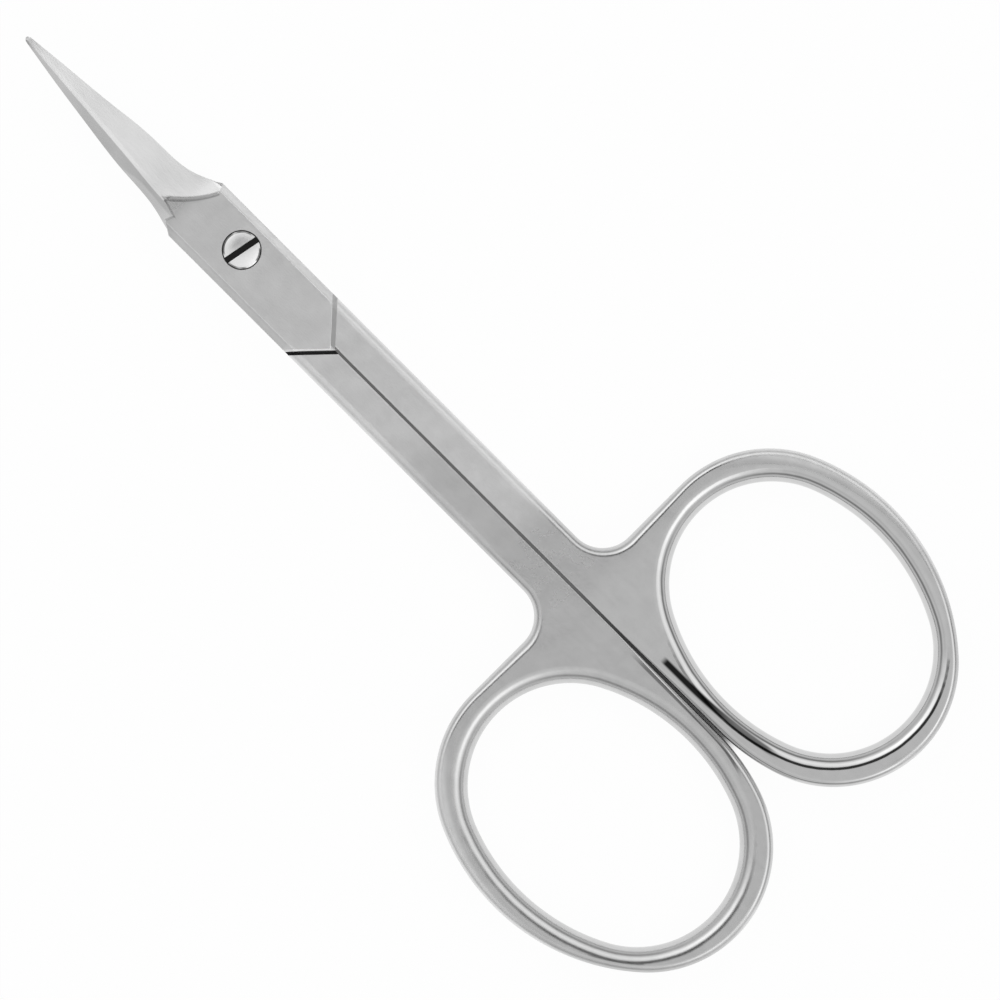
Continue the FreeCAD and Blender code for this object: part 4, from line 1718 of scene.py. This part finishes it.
@dataclass(frozen=True)
class Studio:
    """A white sheet under a soft studio sky, and the camera straight above."""

    parting: float
    middle_x: float = -28.38
    middle_y: float = -0.463
    field: float = 78.95
    lens: float = 300.0
    sensor: float = 36.0
    heading: float = math.radians(-135)
    sheet: float = 4000.0
    glow: float = 0.96
    # the sheet seen through the gap between the shanks, and how light it stays there
    gap_half: float = 0.3
    gap_start: float = -56.0
    gap_end: float = -8.0
    gap_fade: float = 2.0
    gap_reach: float = 3.0
    gap_lit: Span = (0.08, 0.24)
    gap_samples: int = 64
    bow_floor: float = 0.04
    shank_floor: float = 0.10
    shank_floor_from: Span = (-44.0, -36.0)
    # the sky's gray by its height, and the shares of the side lights and the dark ring in it
    sky: tuple[tuple[float, float], ...] = (
        (0.0, 0.85), (0.54, 0.95), (0.60, 1.10), (0.70, 1.00), (0.80, 0.95), (0.95, 0.95),
        (0.99, 0.90), (1.0, 0.88))
    band: tuple[tuple[float, float], ...] = (
        (0.22, 0.0), (0.31, 1.0), (0.45, 1.0), (0.53, 0.0))
    lights: tuple[tuple[float, float], ...] = (
        (0.60, 0.0), (0.70, 0.9), (0.78, 1.0), (0.86, 0.9), (0.905, 0.0))
    ring: tuple[tuple[float, float], ...] = (
        (0.885, 0.0), (0.925, 1.0), (0.987, 1.0), (0.995, 0.0))
    tilts: tuple[tuple[float, float], ...] = (
        (0.45, 0.0), (0.52, 1.0), (0.75, 1.0), (0.85, 0.0))
    ring_way: float = math.radians(35)
    ring_facing: Span = (0.0, 0.6)
    ring_dark: float = 0.95
    band_dark: float = 0.62
    band_end: float = 0.85
    tilt: float = 0.18
    light_all: float = 0.12
    light_ends: float = 1.0
    light_side: float = 0.24
    end_power: float = 3.0

    def build(self, top: float) -> None:
        """Set up the camera, the sheet and the sky.

        Args:
            top: Height of the object's upper face, in metres, which the field is measured at.
        """
        scene = bpy.context.scene
        scene.view_settings.view_transform = "Standard"
        eye = bpy.data.cameras.new("eye")
        eye.lens, eye.sensor_width = self.lens, self.sensor
        height = top + self.field * MM * self.lens / self.sensor
        camera = bpy.data.objects.new("eye", eye)
        camera.location = (self.middle_x * MM, self.middle_y * MM, height)
        camera.rotation_euler = (0.0, 0.0, self.heading)
        eye.clip_start, eye.clip_end = height / 10, height * 10
        scene.collection.objects.link(camera)
        scene.camera = camera
        self.build_sheet()
        self.build_sky()

    @staticmethod
    def seen(shader: Shader) -> Signal:
        """1 for what the eye sees, straight, in steel or through glass, and 0 for light.

        Args:
            shader: The shader that it is part of.

        Returns:
            The mask.
        """
        eye, gloss, glass = (shader.node("ShaderNodeLightPath", output=name) for name in
                             ("Is Camera Ray", "Is Glossy Ray", "Is Transmission Ray"))
        return eye.at_least(gloss).at_least(glass)

    def build_sheet(self) -> None:
        """A large level sheet that reads as white and keeps a trace of the shadow."""
        half = self.sheet * MM / 2
        corner = np.array([[-1, -1], [1, -1], [1, 1], [-1, 1]]) * half
        mesh = bpy.data.meshes.new("sheet")
        mesh.from_pydata(np.c_[corner, np.zeros(4)].tolist(), [], [(0, 1, 2, 3)])
        sheet = bpy.data.objects.new("sheet", mesh)
        bpy.context.scene.collection.objects.link(sheet)
        material, shader = new_material("white_sheet")
        # painted shade: under the narrow gap between the shanks no light reaches the sheet, so its
        # colour and glow are darkened there by the occlusion
        x, y = shader.axes(shader.millimetres())[:2]
        near = abs(y - self.parting) < self.gap_half
        near = near * (x > self.gap_start) * (x < self.gap_end)
        occlusion = shader.node("ShaderNodeAmbientOcclusion",
                                {"Distance": near * (self.gap_reach * MM)}, "AO",
                                samples=self.gap_samples)
        lit = occlusion.step(*self.gap_lit)
        lit = lit + (1 - lit) * x.fall(self.gap_start, self.gap_start + self.gap_fade)
        floor = x.step(*self.shank_floor_from) * self.shank_floor + self.bow_floor
        paper = shader.node("ShaderNodeBsdfDiffuse", {"Color": shader.gray(lit)})
        bright = lit * (1 - floor) + floor
        glow = shader.node("ShaderNodeEmission", {"Color": shader.gray(bright)})
        share = self.seen(shader) * self.glow
        mixed = shader.node("ShaderNodeMixShader", {0: share, 1: paper, 2: glow})
        shader.output("ShaderNodeOutputMaterial", mixed)
        mesh.materials.append(material)

    def build_sky(self) -> None:
        """A sky with a soft box all round, stronger at the tool's ends, and dark bands.

        With c and s the cosine and sine of the heading, the side lights have the strength
        all + ends c^6 - side s. The ring, a dark room round the camera, shows on the side
        of -s, where the sky is a little brighter lower down, and the band near the horizon
        fades by c^6 towards the tool's ends.
        """
        world = bpy.data.worlds.new("studio")
        bpy.context.scene.world = world
        world.use_nodes = True
        shader = Shader(world.node_tree)
        x, y, z = shader.axes(shader.node("ShaderNodeTexCoord", output="Generated"))
        flat = ((1 - z * z) + TINY).root()
        heading, side = x / flat, 0 - y / flat
        ends = (heading * heading) ** self.end_power
        lights = self.light_all + ends * self.light_ends + side * self.light_side
        base, share, ring, tilt, band = (
            shader.node("ShaderNodeValToRGB", {"Fac": z}, stops=stops)
            for stops in (self.sky, self.lights, self.ring, self.tilts, self.band))
        base = base * (1 + tilt * side * self.tilt)
        base = base * (1 - band * (1 - ends * self.band_end) * self.band_dark)
        facing = heading * math.cos(self.ring_way) + side * math.sin(self.ring_way)
        ring = ring * facing.step(*self.ring_facing) * self.ring_dark
        eye = shader.node("ShaderNodeLightPath", output="Is Camera Ray")
        strength = (base + share * lights.at_least(0.0)) * (1 - ring) * (1 - eye) + eye
        sky = shader.node("ShaderNodeBackground", {"Strength": strength})
        shader.output("ShaderNodeOutputWorld", sky)


def show(piece: bpy.types.Object, node: str, body: str,
         finish: bpy.types.Material) -> None:
    """Dress a piece, let it stand for its node, and report how well the two agree.

    Args:
        piece: The piece.
        node: The CAD node that it stands for.
        body: The body that it rides on.
        finish: Its material.
    """
    piece.data.materials.clear()
    piece.data.materials.append(finish)
    low, high = (np.array(corner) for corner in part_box(node))
    points = np.empty(len(piece.data.vertices) * 3)
    piece.data.vertices.foreach_get("co", points)
    points = points.reshape(-1, 3)
    off = np.abs(np.stack([points.min(axis=0) - low, points.max(axis=0) - high])).max() / MM
    LOG.info("%s: %d faces, %.3f mm from %s's box", piece.name, len(piece.data.polygons), off, node)
    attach(piece, body)
    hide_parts(node)


def main() -> None:
    """Build the scissors around the frame, then the studio."""
    logging.basicConfig(level=logging.INFO, format="%(name)s: %(message)s")
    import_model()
    bpy.context.view_layer.update()
    lap = Lap()
    screw = Screw(lap)
    steel = SteelFinish(Handle(lap), Blade(lap, Turn.FRONT, Plunge(lap))).build()
    for name, turn, node, body in (("front_half_steel", Turn.FRONT, "front_half", "front"),
                                   ("rear_half_steel", Turn.REAR, "rear_half", "rear")):
        show(Half(name, turn, lap, screw).build(), node, body, steel)
    show(screw.build(), "pivot_screw", "rear", ScrewFinish(screw).build())
    Studio(lap.pivot_offset).build((lap.mate + lap.top) * MM)
    bpy.context.view_layer.update()


if __name__ == "__main__":
    main()
